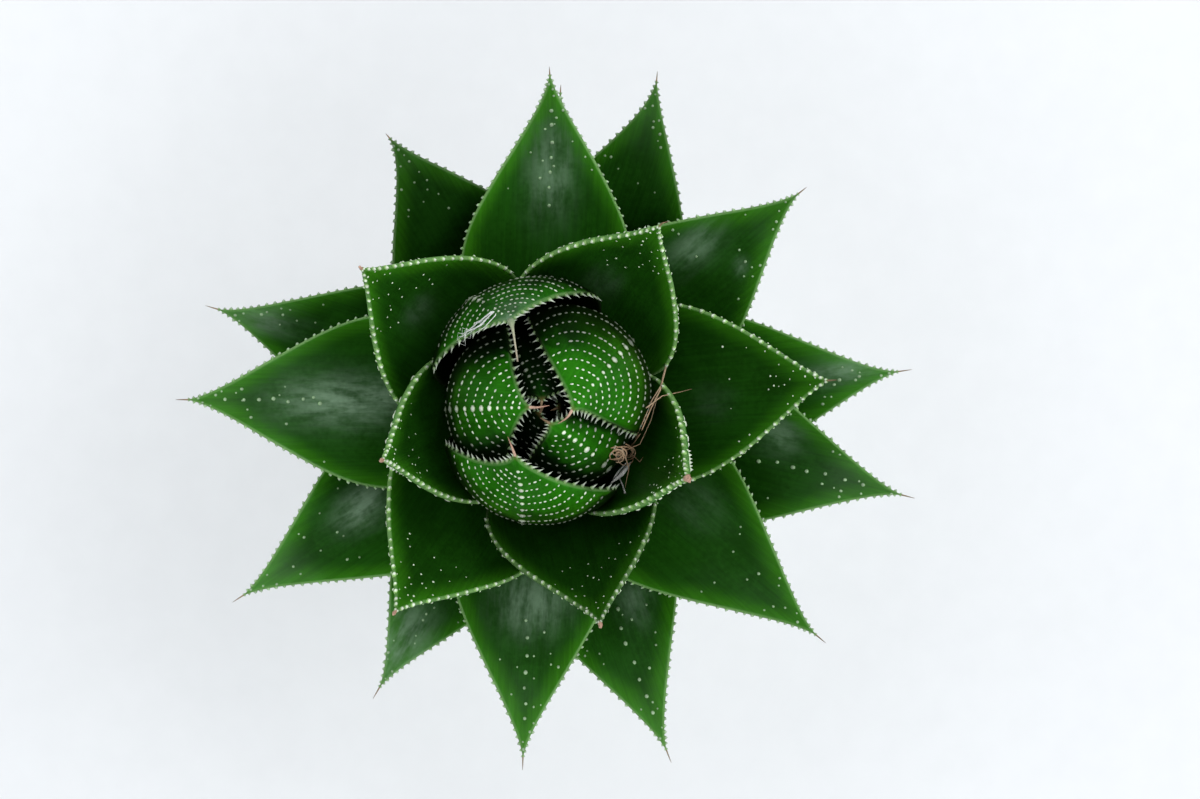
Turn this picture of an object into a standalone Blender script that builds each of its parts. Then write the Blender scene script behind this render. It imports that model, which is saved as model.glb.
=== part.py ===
"""A lace aloe in a plain round pot, in metres, +Z up, standing on its base at the origin.

The rosette is a golden-angle spiral of leaves. Each leaf lies in its own bowl, a surface turned
about the plant's axis, and the bowls nest in one another from the youngest leaf to the oldest.
"""

import math
from collections import namedtuple

import bmesh
import bpy
from mathutils import Matrix, Vector, bvhtree, geometry, noise

MM = 0.001
GAP = 0.3 * MM

# Pot
POT_HEIGHT = 76 * MM
RIM_RADIUS = 43 * MM
RIM_BAND = 15 * MM
RIM_PROUD = 1.6 * MM
FOOT_RADIUS = 30 * MM
FOOT_CHAMFER = 1.2 * MM
WALL = 3.6 * MM
FLOOR = 4.5 * MM
LIP = 1.1 * MM
DRAIN_HOLES = 4
DRAIN_RADIUS = 3.2 * MM
DRAIN_CIRCLE = 15 * MM
DRAIN_SIDES = 12
POT_SIDES = 40

# Soil
SOIL_TOP = 69 * MM
SOIL_LUMPS = 1.1 * MM
SOIL_LUMP_SIZE = 7 * MM
SOIL_SIDES = 32
SOIL_RINGS = 6
SOIL_GAP = 0.4 * MM

# Stem
STEM_RADIUS = 10.6 * MM
STEM_COLLAR_RADIUS = 8 * MM
STEM_TIP_RADIUS = 2.2 * MM
STEM_DEPTH = 26 * MM
STEM_TOP = 110.5 * MM
STEM_SIDES = 16

# Leaves, youngest first: direction of the leaf seen from above in degrees, reach of its tip from
# the middle, height of the tip above the ground, the way the tip heads, where 0 is level and 90
# is straight up, how far the tip steps sideways, counter-clockwise, and its breadth beside others.
LEAVES = (
    (10, 0.4, 131, 110, -0.4, 1.0),
    (229, 1.4, 132.5, 114, -1.2, 1.0),
    (99, 0.8, 134.5, 120, 2.0, 1.0),
    (311, 0.8, 137, 126, -2.6, 1.0),
    (178, 3.6, 138.5, 127, 0.0, 1.0),
    (43, 1.2, 139.7, 132, -2.6, 1.0),
    (256, 9.4, 139.5, 118, -5.2, 1.0),
    (114, 17.2, 139, 101, 1.0, 1.0),
    (333, 29.8, 138, 74.5, 0.0, 1.0),
    (198, 31.5, 137, 64, 0.6, 0.88),
    (57, 39.6, 137, 58, 0.0, 1.0),
    (286.5, 42.2, 135, 54, -1.5, 1.04),
    (143, 42.4, 134, 52, 0.0, 1.0),
    (5, 54.4, 128, 44, 0.0, 1.04),
    (234.5, 48.0, 130, 48, 0.0, 1.04),
    (87.5, 63.4, 124, 40, 1.6, 1.0),
    (320, 69.3, 119, 36, 0.0, 0.96),
    (179, 69.6, 117, 34, 0.0, 1.0),
    (39.3, 65.2, 115, 32, 0.0, 1.04),
    (266.6, 69.6, 112, 30, 0.0, 1.0),
    (117.5, 61.0, 110, 28, 2.8, 1.22),
    (346, 74.0, 107, 26, 0.0, 1.0),
    (212.4, 71.4, 105, 25, 0.0, 0.94),
    (66.5, 69.2, 102, 24, 5.2, 1.1),
    (289.6, 74.6, 99, 22, 0.0, 0.96),
    (163.4, 69.4, 97, 20, 0.0, 1.0),
    (4.5, 73.4, 94, 18, 1.2, 1.04),
    (239.8, 67.6, 92, 16, 0.0, 1.0),
    (87, 65.0, 90, 14, 0.0, 1.0),
)
OLDEST = len(LEAVES) - 1
BUD_LEAVES = 8
CUP_LEAVES = 15

LEAF_BASE_TOP = 109 * MM
LEAF_BASE_STEP = 1.25 * MM
APEX_LEAVES = 13
BASE_CLASP = math.radians(41)
STEEPEST_BASE = 25
CLASP_FROM = 0.08
CLASP_OVER = 0.3
STEM_GAP = 0.55 * MM
MARGIN = 0.9 * MM
ACROSS = (-1.0, -0.55, 0.0, 0.55, 1.0)
STATIONS = (0.0, 0.03, 0.17, 0.32, 0.47, 0.61, 0.74, 0.85, 0.93, 1.0)
CURVE_STEPS = 48

# How the leaves of the closed bud, of the cup round it and of the spreading ring are shaped: widest
# width, how far they wrap round the plant, how fast they widen from the tip, length of the
# drawn-out tip, thickness at the stem and in the middle, and the pull of the curve's two ends.
Habit = namedtuple("Habit", "width clasp widening drawn base fleshy base_pull tip_pull")
BUD = Habit(42 * MM, math.radians(63), 0.95, 3 * MM, 2.3 * MM, 2.8 * MM, 0.62, 0.55)
CUP = Habit(40 * MM, math.radians(47), 0.68, 4 * MM, 2.9 * MM, 4.0 * MM, 0.48, 0.42)
SPREAD = Habit(37.5 * MM, math.radians(42), 0.64, 9.5 * MM, 3.3 * MM, 4.5 * MM, 0.42, 0.42)

# Teeth along the margins and tubercles on the backs
TOOTH_LENGTH = 1.2 * MM
TOOTH_RADIUS = 0.5 * MM
TOOTH_SPACING = 4.8 * MM
TOOTH_FIRST = 4.5 * MM
TOOTHED_SHARE = 0.62
TOOTH_LEAN = math.radians(25)
TUBERCLE_RADIUS = 0.6 * MM
TUBERCLE_HEIGHT = 0.5 * MM
TUBERCLE_ROWS = (7 * MM, 13 * MM, 20 * MM)
TUBERCLE_SPACING = 5 * MM
TUBERCLED_WIDTH = 0.75
SUNK = 0.5 * MM
PROBE = 0.01
UNION_SOLVER = "EXACT"

# How the plant leans as it grows, and its slow unevenness
LEAN_FROM = 90 * MM
LEAN_OVER = 45 * MM
LEAN = Vector((1.85, -0.55, 0.0)) * MM
UNEVEN = 0.5 * MM
UNEVEN_SIZE = 45 * MM
UNEVEN_FROM = 74 * MM
UNEVEN_OVER = 14 * MM
UNEVEN_AXES = (Vector((0, 0, 0)), Vector((9, 0, 0)), Vector((0, 9, 0)))

POT_WHITE = (0.86, 0.85, 0.82)
SOIL_BROWN = (0.045, 0.028, 0.018)
STEM_GREEN = (0.16, 0.2, 0.06)
YOUNG_GREEN = (0.07, 0.2, 0.03)
OLD_GREEN = (0.02, 0.1, 0.015)


def clear_scene():
    for thing in list(bpy.data.objects):
        bpy.data.objects.remove(thing, do_unlink=True)


def make_material(name, colour, roughness, metallic=0.0):
    material = bpy.data.materials.new(name)
    material.use_nodes = True
    shader = material.node_tree.nodes["Principled BSDF"]
    shader.inputs["Base Color"].default_value = (*colour, 1.0)
    shader.inputs["Roughness"].default_value = roughness
    shader.inputs["Metallic"].default_value = metallic
    return material


def add_object(name, bm, material):
    mesh = bpy.data.meshes.new(name)
    bm.to_mesh(mesh)
    bm.free()
    thing = bpy.data.objects.new(name, mesh)
    bpy.context.collection.objects.link(thing)
    if material:
        mesh.materials.append(material)
    return thing


def smooth_step(value):
    value = min(max(value, 0.0), 1.0)
    return value * value * (3 - 2 * value)


def soft_min(*values, sharpness=6):
    """The smallest of some lengths, with the corner between them rounded."""
    smallest = min(values)
    if smallest <= 0:
        return 0.0
    return smallest * sum((smallest / value) ** sharpness for value in values) ** (-1 / sharpness)


def turned(profile, sides):
    """A closed body turned about Z from (radius, height) points that start and end on the axis."""
    bm = bmesh.new()
    points = [bm.verts.new((radius, 0, height)) for radius, height in profile]
    edges = [bm.edges.new(pair) for pair in zip(points, points[1:])]
    bmesh.ops.spin(
        bm,
        geom=points + edges,
        axis=(0, 0, 1),
        cent=(0, 0, 0),
        angle=math.tau,
        steps=sides,
        use_merge=True,
    )
    bmesh.ops.remove_doubles(bm, verts=bm.verts, dist=0.001 * MM)
    bmesh.ops.recalc_face_normals(bm, faces=bm.faces)
    return bm


def pot_radius(height):
    """The outer wall's radius under the rim band."""
    return FOOT_RADIUS + (RIM_RADIUS - RIM_PROUD - FOOT_RADIUS) * height / (POT_HEIGHT - RIM_BAND)


def make_pot():
    band_foot = POT_HEIGHT - RIM_BAND
    profile = [
        (0, 0),
        (FOOT_RADIUS - FOOT_CHAMFER, 0),
        (FOOT_RADIUS, FOOT_CHAMFER),
        (pot_radius(band_foot), band_foot),
        (RIM_RADIUS - LIP / 2, band_foot + LIP),
        (RIM_RADIUS, band_foot + 2 * LIP),
        (RIM_RADIUS, POT_HEIGHT - LIP),
        (RIM_RADIUS - LIP, POT_HEIGHT),
        (RIM_RADIUS - WALL + LIP, POT_HEIGHT),
        (RIM_RADIUS - WALL, POT_HEIGHT - LIP),
        (RIM_RADIUS - WALL - RIM_PROUD, band_foot),
        (pot_radius(FLOOR) - WALL, FLOOR),
        (0, FLOOR),
    ]
    pot = add_object("pot", turned(profile, POT_SIDES), make_material("pot_white", POT_WHITE, 0.35))
    drains = bmesh.new()
    for n in range(DRAIN_HOLES):
        turn = Matrix.Rotation(math.tau * (n + 0.5) / DRAIN_HOLES, 4, "Z")
        place = turn @ Matrix.Translation((DRAIN_CIRCLE, 0, FLOOR / 2))
        bmesh.ops.create_cone(
            drains,
            cap_ends=True,
            segments=DRAIN_SIDES,
            radius1=DRAIN_RADIUS,
            radius2=DRAIN_RADIUS,
            depth=3 * FLOOR,
            matrix=place,
        )
    cutter = add_object("drain_cutter", drains, None)
    cutter.hide_render = True
    cutter.display_type = "WIRE"
    cut = pot.modifiers.new("Drain holes", "BOOLEAN")
    cut.operation = "DIFFERENCE"
    cut.object = cutter
    pot.data.shade_smooth()
    pot.data.set_sharp_from_angle(angle=math.radians(35))


def soil_edge(height):
    """The soil's radius, a gap inside the pot's inner wall."""
    band_foot = POT_HEIGHT - RIM_BAND
    share = (height - FLOOR) / (band_foot - FLOOR)
    low = pot_radius(FLOOR) - WALL
    high = RIM_RADIUS - WALL - RIM_PROUD
    return min(low + (high - low) * share, high) - SOIL_GAP


def make_soil():
    bottom = FLOOR + GAP
    band_foot = POT_HEIGHT - RIM_BAND
    hole = STEM_COLLAR_RADIUS + GAP
    hole_floor = SOIL_TOP - STEM_DEPTH - GAP
    outer = soil_edge(band_foot)
    rings = [outer + (hole - outer) * n / SOIL_RINGS for n in range(SOIL_RINGS + 1)]
    profile = [(0, bottom), (soil_edge(bottom), bottom), (outer, band_foot)]
    profile += [(ring, SOIL_TOP) for ring in rings]
    profile += [(hole, hole_floor), (0, hole_floor)]
    bm = turned(profile, SOIL_SIDES)
    for vert in bm.verts:
        radius = math.hypot(vert.co.x, vert.co.y)
        if vert.co.z > SOIL_TOP - MM and radius > hole + MM:
            vert.co.z += SOIL_LUMPS * noise.noise(vert.co / SOIL_LUMP_SIZE)
    soil = add_object("soil", bm, make_material("soil_brown", SOIL_BROWN, 0.95))
    soil.data.shade_smooth()
    soil.data.set_sharp_from_angle(angle=math.radians(50))


def uneven(point):
    """Moves a point of the plant by its lean and its slow unevenness, alike for every piece of it."""
    rise = max(0.0, (point.z - LEAN_FROM) / LEAN_OVER)
    drift = Vector([noise.noise(point / UNEVEN_SIZE + apart) for apart in UNEVEN_AXES]) * UNEVEN
    return point + LEAN * rise**1.5 + drift * smooth_step((point.z - UNEVEN_FROM) / UNEVEN_OVER)


def base_height(age):
    return LEAF_BASE_TOP - LEAF_BASE_STEP * age


def stem_radius(height):
    """The stem tapers to its growing point over the youngest leaves' bases."""
    share = (STEM_TOP - height) / (STEM_TOP - base_height(APEX_LEAVES))
    return STEM_TIP_RADIUS + (STEM_RADIUS - STEM_TIP_RADIUS) * min(1.0, max(0.0, share)) ** 0.8


def make_stem():
    foot = SOIL_TOP - STEM_DEPTH
    collar_top = SOIL_TOP + 2 * MM
    profile = [(0, foot), (STEM_COLLAR_RADIUS * 0.45, foot), (STEM_COLLAR_RADIUS, SOIL_TOP - 9 * MM)]
    profile += [(STEM_COLLAR_RADIUS, SOIL_TOP + 0.5 * MM), (STEM_RADIUS, collar_top)]
    rows = 7
    for n in range(1, rows):
        height = collar_top + (STEM_TOP - collar_top) * n / rows
        profile.append((stem_radius(height), height))
    profile += [(STEM_TIP_RADIUS, STEM_TOP - 0.4 * MM), (STEM_TIP_RADIUS / 2, STEM_TOP), (0, STEM_TOP)]
    bm = turned(profile, STEM_SIDES)
    for vert in bm.verts:
        vert.co = uneven(vert.co)
    stem = add_object("stem", bm, make_material("stem_green", STEM_GREEN, 0.6))
    stem.data.shade_smooth()


class Leaf:
    """One leaf: its curve from the stem to the tip, and the outline and thickness along it."""

    def __init__(self, age, direction, reach, height, heading, sidestep, breadth):
        self.age = age
        self.breadth = breadth
        self.habit = BUD if age < BUD_LEAVES else CUP if age < CUP_LEAVES else SPREAD
        self.sidestep = sidestep * MM
        lean = LEAN * max(0.0, (height * MM - LEAN_FROM) / LEAN_OVER) ** 1.5
        tip = Vector((reach * MM, 0, height * MM))
        self.turn = math.radians(direction)
        if age >= BUD_LEAVES:
            seen = Matrix.Rotation(self.turn, 3, "Z") @ tip - lean
            self.turn = math.atan2(seen.y, seen.x)
            tip.x = math.hypot(seen.x, seen.y)
        low = base_height(age)
        base = Vector((stem_radius(low) + STEM_GAP, 0, low))
        rise = self.base_heading()
        head = math.radians(heading)
        span = (tip - base).length
        start = base + Vector((math.cos(rise), 0, math.sin(rise))) * span * self.habit.base_pull
        end = tip - Vector((math.cos(head), 0, math.sin(head))) * span * self.habit.tip_pull
        self.curve = geometry.interpolate_bezier(base, start, end, tip, CURVE_STEPS)
        self.reached = [0.0]
        for a, b in zip(self.curve, self.curve[1:]):
            self.reached.append(self.reached[-1] + (b - a).length)
        self.length = self.reached[-1]

    def base_heading(self):
        """Old leaves leave the stem nearly level, young ones rise more steeply."""
        youth = 1 - self.age / OLDEST
        return math.radians(min(4 + 34 * youth**1.6, STEEPEST_BASE))

    def along(self, share):
        """The point of the curve and its heading at a share of the length, base to tip."""
        wanted = share * self.length
        n = 1
        while n < len(self.reached) - 1 and self.reached[n] < wanted:
            n += 1
        step = self.reached[n] - self.reached[n - 1]
        here = (wanted - self.reached[n - 1]) / step
        way = (self.curve[n] - self.curve[n - 1]).normalized()
        return self.curve[n - 1].lerp(self.curve[n], here), way

    def half_width(self, share, radius):
        """A triangle with a drawn-out tip, rounded into the widest place and clasping the stem."""
        from_tip = (1 - share) * self.length
        side = self.breadth * self.habit.widening * from_tip**2 / (from_tip + self.habit.drawn)
        opened = smooth_step((share - CLASP_FROM) / CLASP_OVER)
        clasp = BASE_CLASP + (self.habit.clasp - BASE_CLASP) * opened
        return soft_min(side, self.habit.width / 2, clasp * radius, sharpness=10)

    def thickness(self, share):
        """Thin where the leaf clasps the stem, fleshy in the middle, and thin again at the tip."""
        swell = smooth_step((share - 0.15) / 0.35)
        body = self.habit.base + (self.habit.fleshy - self.habit.base) * swell
        from_tip = (1 - share) * self.length
        return soft_min(body, 0.7 * MM + 0.16 * from_tip, sharpness=4)

    def point(self, share, across, depth):
        """A point of the leaf: depth 0 on its upper face and 1 on its back."""
        spot, way = self.along(share)
        up = Vector((-way.z, 0, way.x))
        side = self.half_width(share, max(spot.x, 0.2 * MM))
        round_off = 1 - abs(across) ** 2.4
        rim = min(MARGIN, self.thickness(share))
        deep = rim + (self.thickness(share) - rim) * round_off
        radius = spot.x
        flat = spot - up * depth * deep
        swing = across * side / max(radius, 0.2 * MM)
        shown = Matrix.Rotation(swing, 3, "Z") @ flat
        shown.y += self.sidestep * share**4
        return uneven(Matrix.Rotation(self.turn, 3, "Z") @ shown)


def leaf_body(leaf):
    """A tube of rings round the leaf, folded flat at the stem and drawn to a point at the tip."""
    ring = [(across, 0.0) for across in ACROSS] + [(across, 1.0) for across in reversed(ACROSS)]
    bm = bmesh.new()
    bmesh.ops.create_grid(bm, x_segments=len(ring), y_segments=len(STATIONS) - 1, size=1.0)
    for vert in bm.verts:
        column = round((vert.co.x + 1) / 2 * len(ring)) % len(ring)
        row = round((vert.co.y + 1) / 2 * (len(STATIONS) - 1))
        across, depth = ring[column]
        share = STATIONS[row]
        if row == 0:
            depth = 0.5
        if row == len(STATIONS) - 1:
            across, depth = 0.0, 0.5
        vert.co = leaf.point(share, across, depth)
    bmesh.ops.remove_doubles(bm, verts=bm.verts, dist=0.001 * MM)
    bmesh.ops.recalc_face_normals(bm, faces=bm.faces)
    bmesh.ops.triangulate(bm, faces=bm.faces, quad_method="FIXED")
    return bm


def add_spike(bm, skin, foot, direction, radius, length):
    """A three-sided spike whose foot is sunk into the nearest place on the leaf's faceted skin."""
    centre = skin.find_nearest(foot)[0] + direction * (length - SUNK) / 2
    place = Matrix.Translation(centre) @ direction.to_track_quat("Z", "X").to_matrix().to_4x4()
    bmesh.ops.create_cone(
        bm, cap_ends=True, segments=3, radius1=radius, radius2=0, depth=length + SUNK, matrix=place
    )


def leaf_teeth(leaf, skin):
    """Teeth at even steps down both margins, leaning towards the tip."""
    bm = bmesh.new()
    from_tip = TOOTH_FIRST
    while from_tip < TOOTHED_SHARE * leaf.length:
        share = 1 - from_tip / leaf.length
        for side in (-1, 1):
            foot = leaf.point(share, side, 0.5)
            outward = (foot - leaf.point(share, side * 0.8, 0.5)).normalized()
            tipward = (leaf.point(share + PROBE, side, 0.5) - foot).normalized()
            direction = outward * math.cos(TOOTH_LEAN) + tipward * math.sin(TOOTH_LEAN)
            add_spike(bm, skin, foot, direction.normalized(), TOOTH_RADIUS, TOOTH_LENGTH)
        from_tip += TOOTH_SPACING
    return bm


def leaf_tubercles(leaf, skin):
    """Tubercles on the back, in rows round the tip."""
    bm = bmesh.new()
    for from_tip in TUBERCLE_ROWS:
        share = 1 - from_tip / leaf.length
        half = leaf.half_width(share, leaf.along(share)[0].x) * TUBERCLED_WIDTH
        count = 2 * round(half / TUBERCLE_SPACING) + 1
        for n in range(count):
            across = TUBERCLED_WIDTH * (2 * n / (count - 1) - 1) if count > 1 else 0.0
            foot = leaf.point(share, across, 1)
            tipward = leaf.point(share + PROBE, across, 1) - foot
            sideways = leaf.point(share, across + PROBE, 1) - foot
            outward = sideways.cross(tipward).normalized()
            if outward.dot(foot - leaf.point(share, across, 0)) < 0:
                outward.negate()
            add_spike(bm, skin, foot, outward, TUBERCLE_RADIUS, TUBERCLE_HEIGHT)
    return bm


def fuse(body, pieces):
    """Joins small pieces to a body in one union, then takes the pieces away."""
    group = bpy.data.collections.new("pieces")
    bpy.context.scene.collection.children.link(group)
    for piece in pieces:
        bpy.context.collection.objects.unlink(piece)
        group.objects.link(piece)
    union = body.modifiers.new("Fuse", "BOOLEAN")
    union.operation = "UNION"
    union.operand_type = "COLLECTION"
    union.collection = group
    union.solver = UNION_SOLVER
    bpy.context.view_layer.update()
    fused = bpy.data.meshes.new_from_object(body.evaluated_get(bpy.context.evaluated_depsgraph_get()))
    body.modifiers.clear()
    body.data = fused
    for piece in pieces:
        bpy.data.objects.remove(piece, do_unlink=True)
    bpy.data.collections.remove(group)


def make_leaves():
    for age, shape in enumerate(LEAVES):
        leaf = Leaf(age, *shape)
        name = f"leaf_{age + 1:02d}"
        green = Vector(YOUNG_GREEN).lerp(Vector(OLD_GREEN), age / OLDEST)
        bm = leaf_body(leaf)
        skin = bvhtree.BVHTree.FromBMesh(bm)
        body = add_object(name, bm, make_material(f"{name}_green", green, 0.4))
        teeth = add_object("teeth", leaf_teeth(leaf, skin), None)
        tubercles = add_object("tubercles", leaf_tubercles(leaf, skin), None)
        fuse(body, (teeth, tubercles))
        body.data.shade_smooth()
        body.data.set_sharp_from_angle(angle=math.radians(35))


clear_scene()
make_pot()
make_soil()
make_stem()
make_leaves()
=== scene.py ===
# %% [markdown]
# # A lace aloe in its pot
# This lesson dresses a potted lace aloe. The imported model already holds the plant's true shape, so
# every piece here is made in the same frame, in metres, and stands exactly where its solid stands.
# A lace aloe is all about small things: white teeth along every margin and white tubercles in rows
# on the backs. They are made as shapes, because they catch the light and show in the outline.

import math
import random
from collections import namedtuple

import bmesh
import bpy
from mathutils import Matrix, Vector, bvhtree, geometry, noise


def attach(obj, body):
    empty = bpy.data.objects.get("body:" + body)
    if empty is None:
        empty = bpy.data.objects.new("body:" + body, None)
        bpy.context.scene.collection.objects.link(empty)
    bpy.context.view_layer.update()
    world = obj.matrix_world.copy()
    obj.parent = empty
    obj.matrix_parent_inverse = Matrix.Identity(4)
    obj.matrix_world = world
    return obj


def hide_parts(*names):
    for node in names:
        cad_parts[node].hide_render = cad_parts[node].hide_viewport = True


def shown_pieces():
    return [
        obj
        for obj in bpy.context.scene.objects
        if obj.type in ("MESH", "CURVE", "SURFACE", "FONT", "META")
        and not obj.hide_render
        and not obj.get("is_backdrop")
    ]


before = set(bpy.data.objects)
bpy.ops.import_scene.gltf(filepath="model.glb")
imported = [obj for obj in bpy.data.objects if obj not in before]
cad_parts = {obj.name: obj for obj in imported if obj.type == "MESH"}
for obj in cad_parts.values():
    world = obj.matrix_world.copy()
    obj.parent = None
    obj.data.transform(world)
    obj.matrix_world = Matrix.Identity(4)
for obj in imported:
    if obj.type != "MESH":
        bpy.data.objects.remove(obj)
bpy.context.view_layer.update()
MM = 0.001

# %% [markdown]
# ## The camera
# The picture looks straight down on the plant from about arm's length. A camera on the plant's own
# axis and a small shift give the same framing without tilting the view, so the leaves keep the
# foreshortening of the picture. One pixel is 0.185 mm at the level of the leaf tips.

# %% The camera over the plant
CAMERA_HEIGHT = 555 * MM
TIP_LEVEL = 135 * MM
PIXEL = 0.185 * MM
AXIS_PIXEL = (543, 405)
IMAGE_SIZE = (1200, 799)
SENSOR = 36

camera_data = bpy.data.cameras.new("camera")
camera_data.sensor_width = SENSOR
camera_data.lens = SENSOR * (CAMERA_HEIGHT - TIP_LEVEL) / (IMAGE_SIZE[0] * PIXEL)
camera_data.shift_x = (IMAGE_SIZE[0] / 2 - AXIS_PIXEL[0]) / IMAGE_SIZE[0]
camera_data.shift_y = (AXIS_PIXEL[1] - IMAGE_SIZE[1] / 2) / IMAGE_SIZE[0]
camera = bpy.data.objects.new("camera", camera_data)
camera.location = (0, 0, CAMERA_HEIGHT)
bpy.context.collection.objects.link(camera)
bpy.context.scene.camera = camera
print("lens", round(camera_data.lens, 1), "mm")

# %% [markdown]
# ## Building materials from nodes
# The sky and every finish here are made from nodes. A few short helpers keep that readable: they
# add a node with its settings and inputs, read an attribute or the place on the piece, split a
# vector, do one step of maths, ramp a value, blend two colours, and start a node group with named
# sockets or use it.

# %% Helpers for nodes
FLOAT = "NodeSocketFloat"
VECTOR = "NodeSocketVector"


def add_node(tree, kind, inputs=None, **settings):
    """Adds a node. An input is a value, or another node's output that is linked to it."""
    node = tree.nodes.new(kind)
    for name, value in settings.items():
        setattr(node, name, value)
    for key, value in (inputs or {}).items():
        if isinstance(value, bpy.types.NodeSocket):
            tree.links.new(value, node.inputs[key])
        else:
            node.inputs[key].default_value = value
    return node


def attribute(tree, name, output="Vector"):
    """What the mesh carries under a name: a vector, or a number by the output Fac."""
    return add_node(tree, "ShaderNodeAttribute", attribute_name=name).outputs[output]


def object_place(tree):
    return add_node(tree, "ShaderNodeTexCoord").outputs["Object"]


def split(tree, vector):
    return add_node(tree, "ShaderNodeSeparateXYZ", {0: vector}).outputs


def noise_at(tree, vector, scale, detail, roughness=0.5):
    inputs = {"Vector": vector, "Scale": scale, "Detail": detail, "Roughness": roughness}
    return add_node(tree, "ShaderNodeTexNoise", inputs).outputs["Fac"]


def math_node(tree, operation, *values, clamp=False):
    node = add_node(tree, "ShaderNodeMath", dict(enumerate(values)), operation=operation)
    node.use_clamp = clamp
    return node.outputs[0]


def scaled(tree, value, by, plus, clamp=False):
    """A value times one thing, plus another."""
    return math_node(tree, "MULTIPLY_ADD", value, by, plus, clamp=clamp)


def ramp(tree, value, start, end, low=0.0, high=1.0):
    """Goes smoothly from low to high as the value goes from start to end."""
    inputs = {"Value": value, "From Min": start, "From Max": end, "To Min": low, "To Max": high}
    node = add_node(tree, "ShaderNodeMapRange", inputs, interpolation_type="SMOOTHSTEP")
    return node.outputs["Result"]


def blend_colours(tree, share, first, second, blend="MIX"):
    node = add_node(tree, "ShaderNodeMix", data_type="RGBA", blend_type=blend)
    for socket, value in ((0, share), (6, first), (7, second)):
        if isinstance(value, bpy.types.NodeSocket):
            tree.links.new(value, node.inputs[socket])
        elif socket:
            node.inputs[socket].default_value = (*value, 1.0)
        else:
            node.inputs[socket].default_value = value
    return node.outputs[2]


def start_group(name, inputs, outputs):
    """A node group with named inputs, each with its kind and value, and named outputs."""
    tree = bpy.data.node_groups.new(name, "ShaderNodeTree")
    for label, kind, value in inputs:
        socket = tree.interface.new_socket(label, in_out="INPUT", socket_type=kind)
        if value is not None:
            socket.default_value = value
    for label, kind in outputs:
        tree.interface.new_socket(label, in_out="OUTPUT", socket_type=kind)
    return tree, tree.nodes.new("NodeGroupInput").outputs, tree.nodes.new("NodeGroupOutput").inputs


def use_group(tree, group, inputs):
    return add_node(tree, "ShaderNodeGroup", inputs, node_tree=group).outputs


print("helpers for nodes are ready")

# %% [markdown]
# ## The light and the floor
# The plant stands on a pale table in soft daylight that comes from all sides, as in a light tent,
# brightest from the right. Straight above it is dark. So the spreading leaves, which slope gently
# towards the middle, mirror the bright ring of sky in a satin sheen, the steeper inner ones mirror
# only each other and stay deep green, and the gaps in the bud stay nearly black. The camera itself
# sees one even pale backdrop in place of that sky.

# %% Lights, sky and floor
FLOOR_SIZE = 8.0
LIGHTS = (
    ("right", (1.1, 0.35, 0.75), 0.8, 2.2),
    ("left", (-1.1, 0.45, 0.85), 0.8, 1.2),
)
AIM = Vector((0, 0, 0.1))
SKY_RING = (2.75, 2.82, 2.9, 1.0)
SKY_LOW = (0.3, 0.31, 0.32, 1.0)
SKY_TOP = (0.2, 0.21, 0.22, 1.0)
SKY_SEEN = (1.1, 1.12, 1.15)
RING_HEIGHTS = (0.55, 0.68, 0.84, 0.93)
RIGHT_SHARE = 0.3
SKY_STRENGTH = 0.85
FLOOR_GAP = 0.2 * MM

for name, place, size, power in LIGHTS:
    light_data = bpy.data.lights.new(name, "AREA")
    light_data.shape = "DISK"
    light_data.size = size
    light_data.energy = power
    light = bpy.data.objects.new(name, light_data)
    light.location = place
    light.rotation_euler = (AIM - Vector(place)).to_track_quat("-Z", "Y").to_euler()
    bpy.context.collection.objects.link(light)

sky = bpy.data.worlds.new("pale_sky")
sky.use_nodes = True
sky_tree = sky.node_tree
background = sky_tree.nodes["Background"].inputs
heading = add_node(sky_tree, "ShaderNodeTexCoord").outputs["Generated"]
heading_parts = split(sky_tree, heading)
bands = add_node(sky_tree, "ShaderNodeValToRGB", {"Fac": heading_parts["Z"]})
bands.color_ramp.interpolation = "EASE"
for position, colour in zip(RING_HEIGHTS, (SKY_LOW, SKY_RING, SKY_RING, SKY_TOP)):
    stop = bands.color_ramp.elements.new(position)
    stop.color = colour
bands.color_ramp.elements.remove(bands.color_ramp.elements[0])
bands.color_ramp.elements.remove(bands.color_ramp.elements[-1])
camera_ray = add_node(sky_tree, "ShaderNodeLightPath").outputs["Is Camera Ray"]
shown_sky = blend_colours(sky_tree, camera_ray, bands.outputs["Color"], SKY_SEEN)
sky_tree.links.new(shown_sky, background["Color"])
sided = scaled(sky_tree, heading_parts["X"], RIGHT_SHARE, SKY_STRENGTH)
sky_tree.links.new(sided, background["Strength"])
bpy.context.scene.world = sky
bpy.context.scene.view_settings.view_transform = "Standard"

bm = bmesh.new()
bmesh.ops.create_grid(bm, x_segments=1, y_segments=1, size=FLOOR_SIZE / 2)
floor_mesh = bpy.data.meshes.new("floor")
bm.to_mesh(floor_mesh)
bm.free()
table_top = bpy.data.objects.new("floor", floor_mesh)
table_top.location.z = -FLOOR_GAP
bpy.context.collection.objects.link(table_top)
table_top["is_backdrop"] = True
print(len(LIGHTS), "lights")

# %% [markdown]
# ## Effects that several finishes share
# Nothing on a plant or a pot is evenly coloured. *Mottle* is a soft patchiness with a finer one on
# it, for leaf, stem, soil, clay and floor. *Grain along* is drawn out in one direction, for the
# veins of a leaf and for dry fibres. Both put out a mask and a height for the bump.

# %% The mottle and the grain
FINE_SHARE = 0.35

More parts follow.
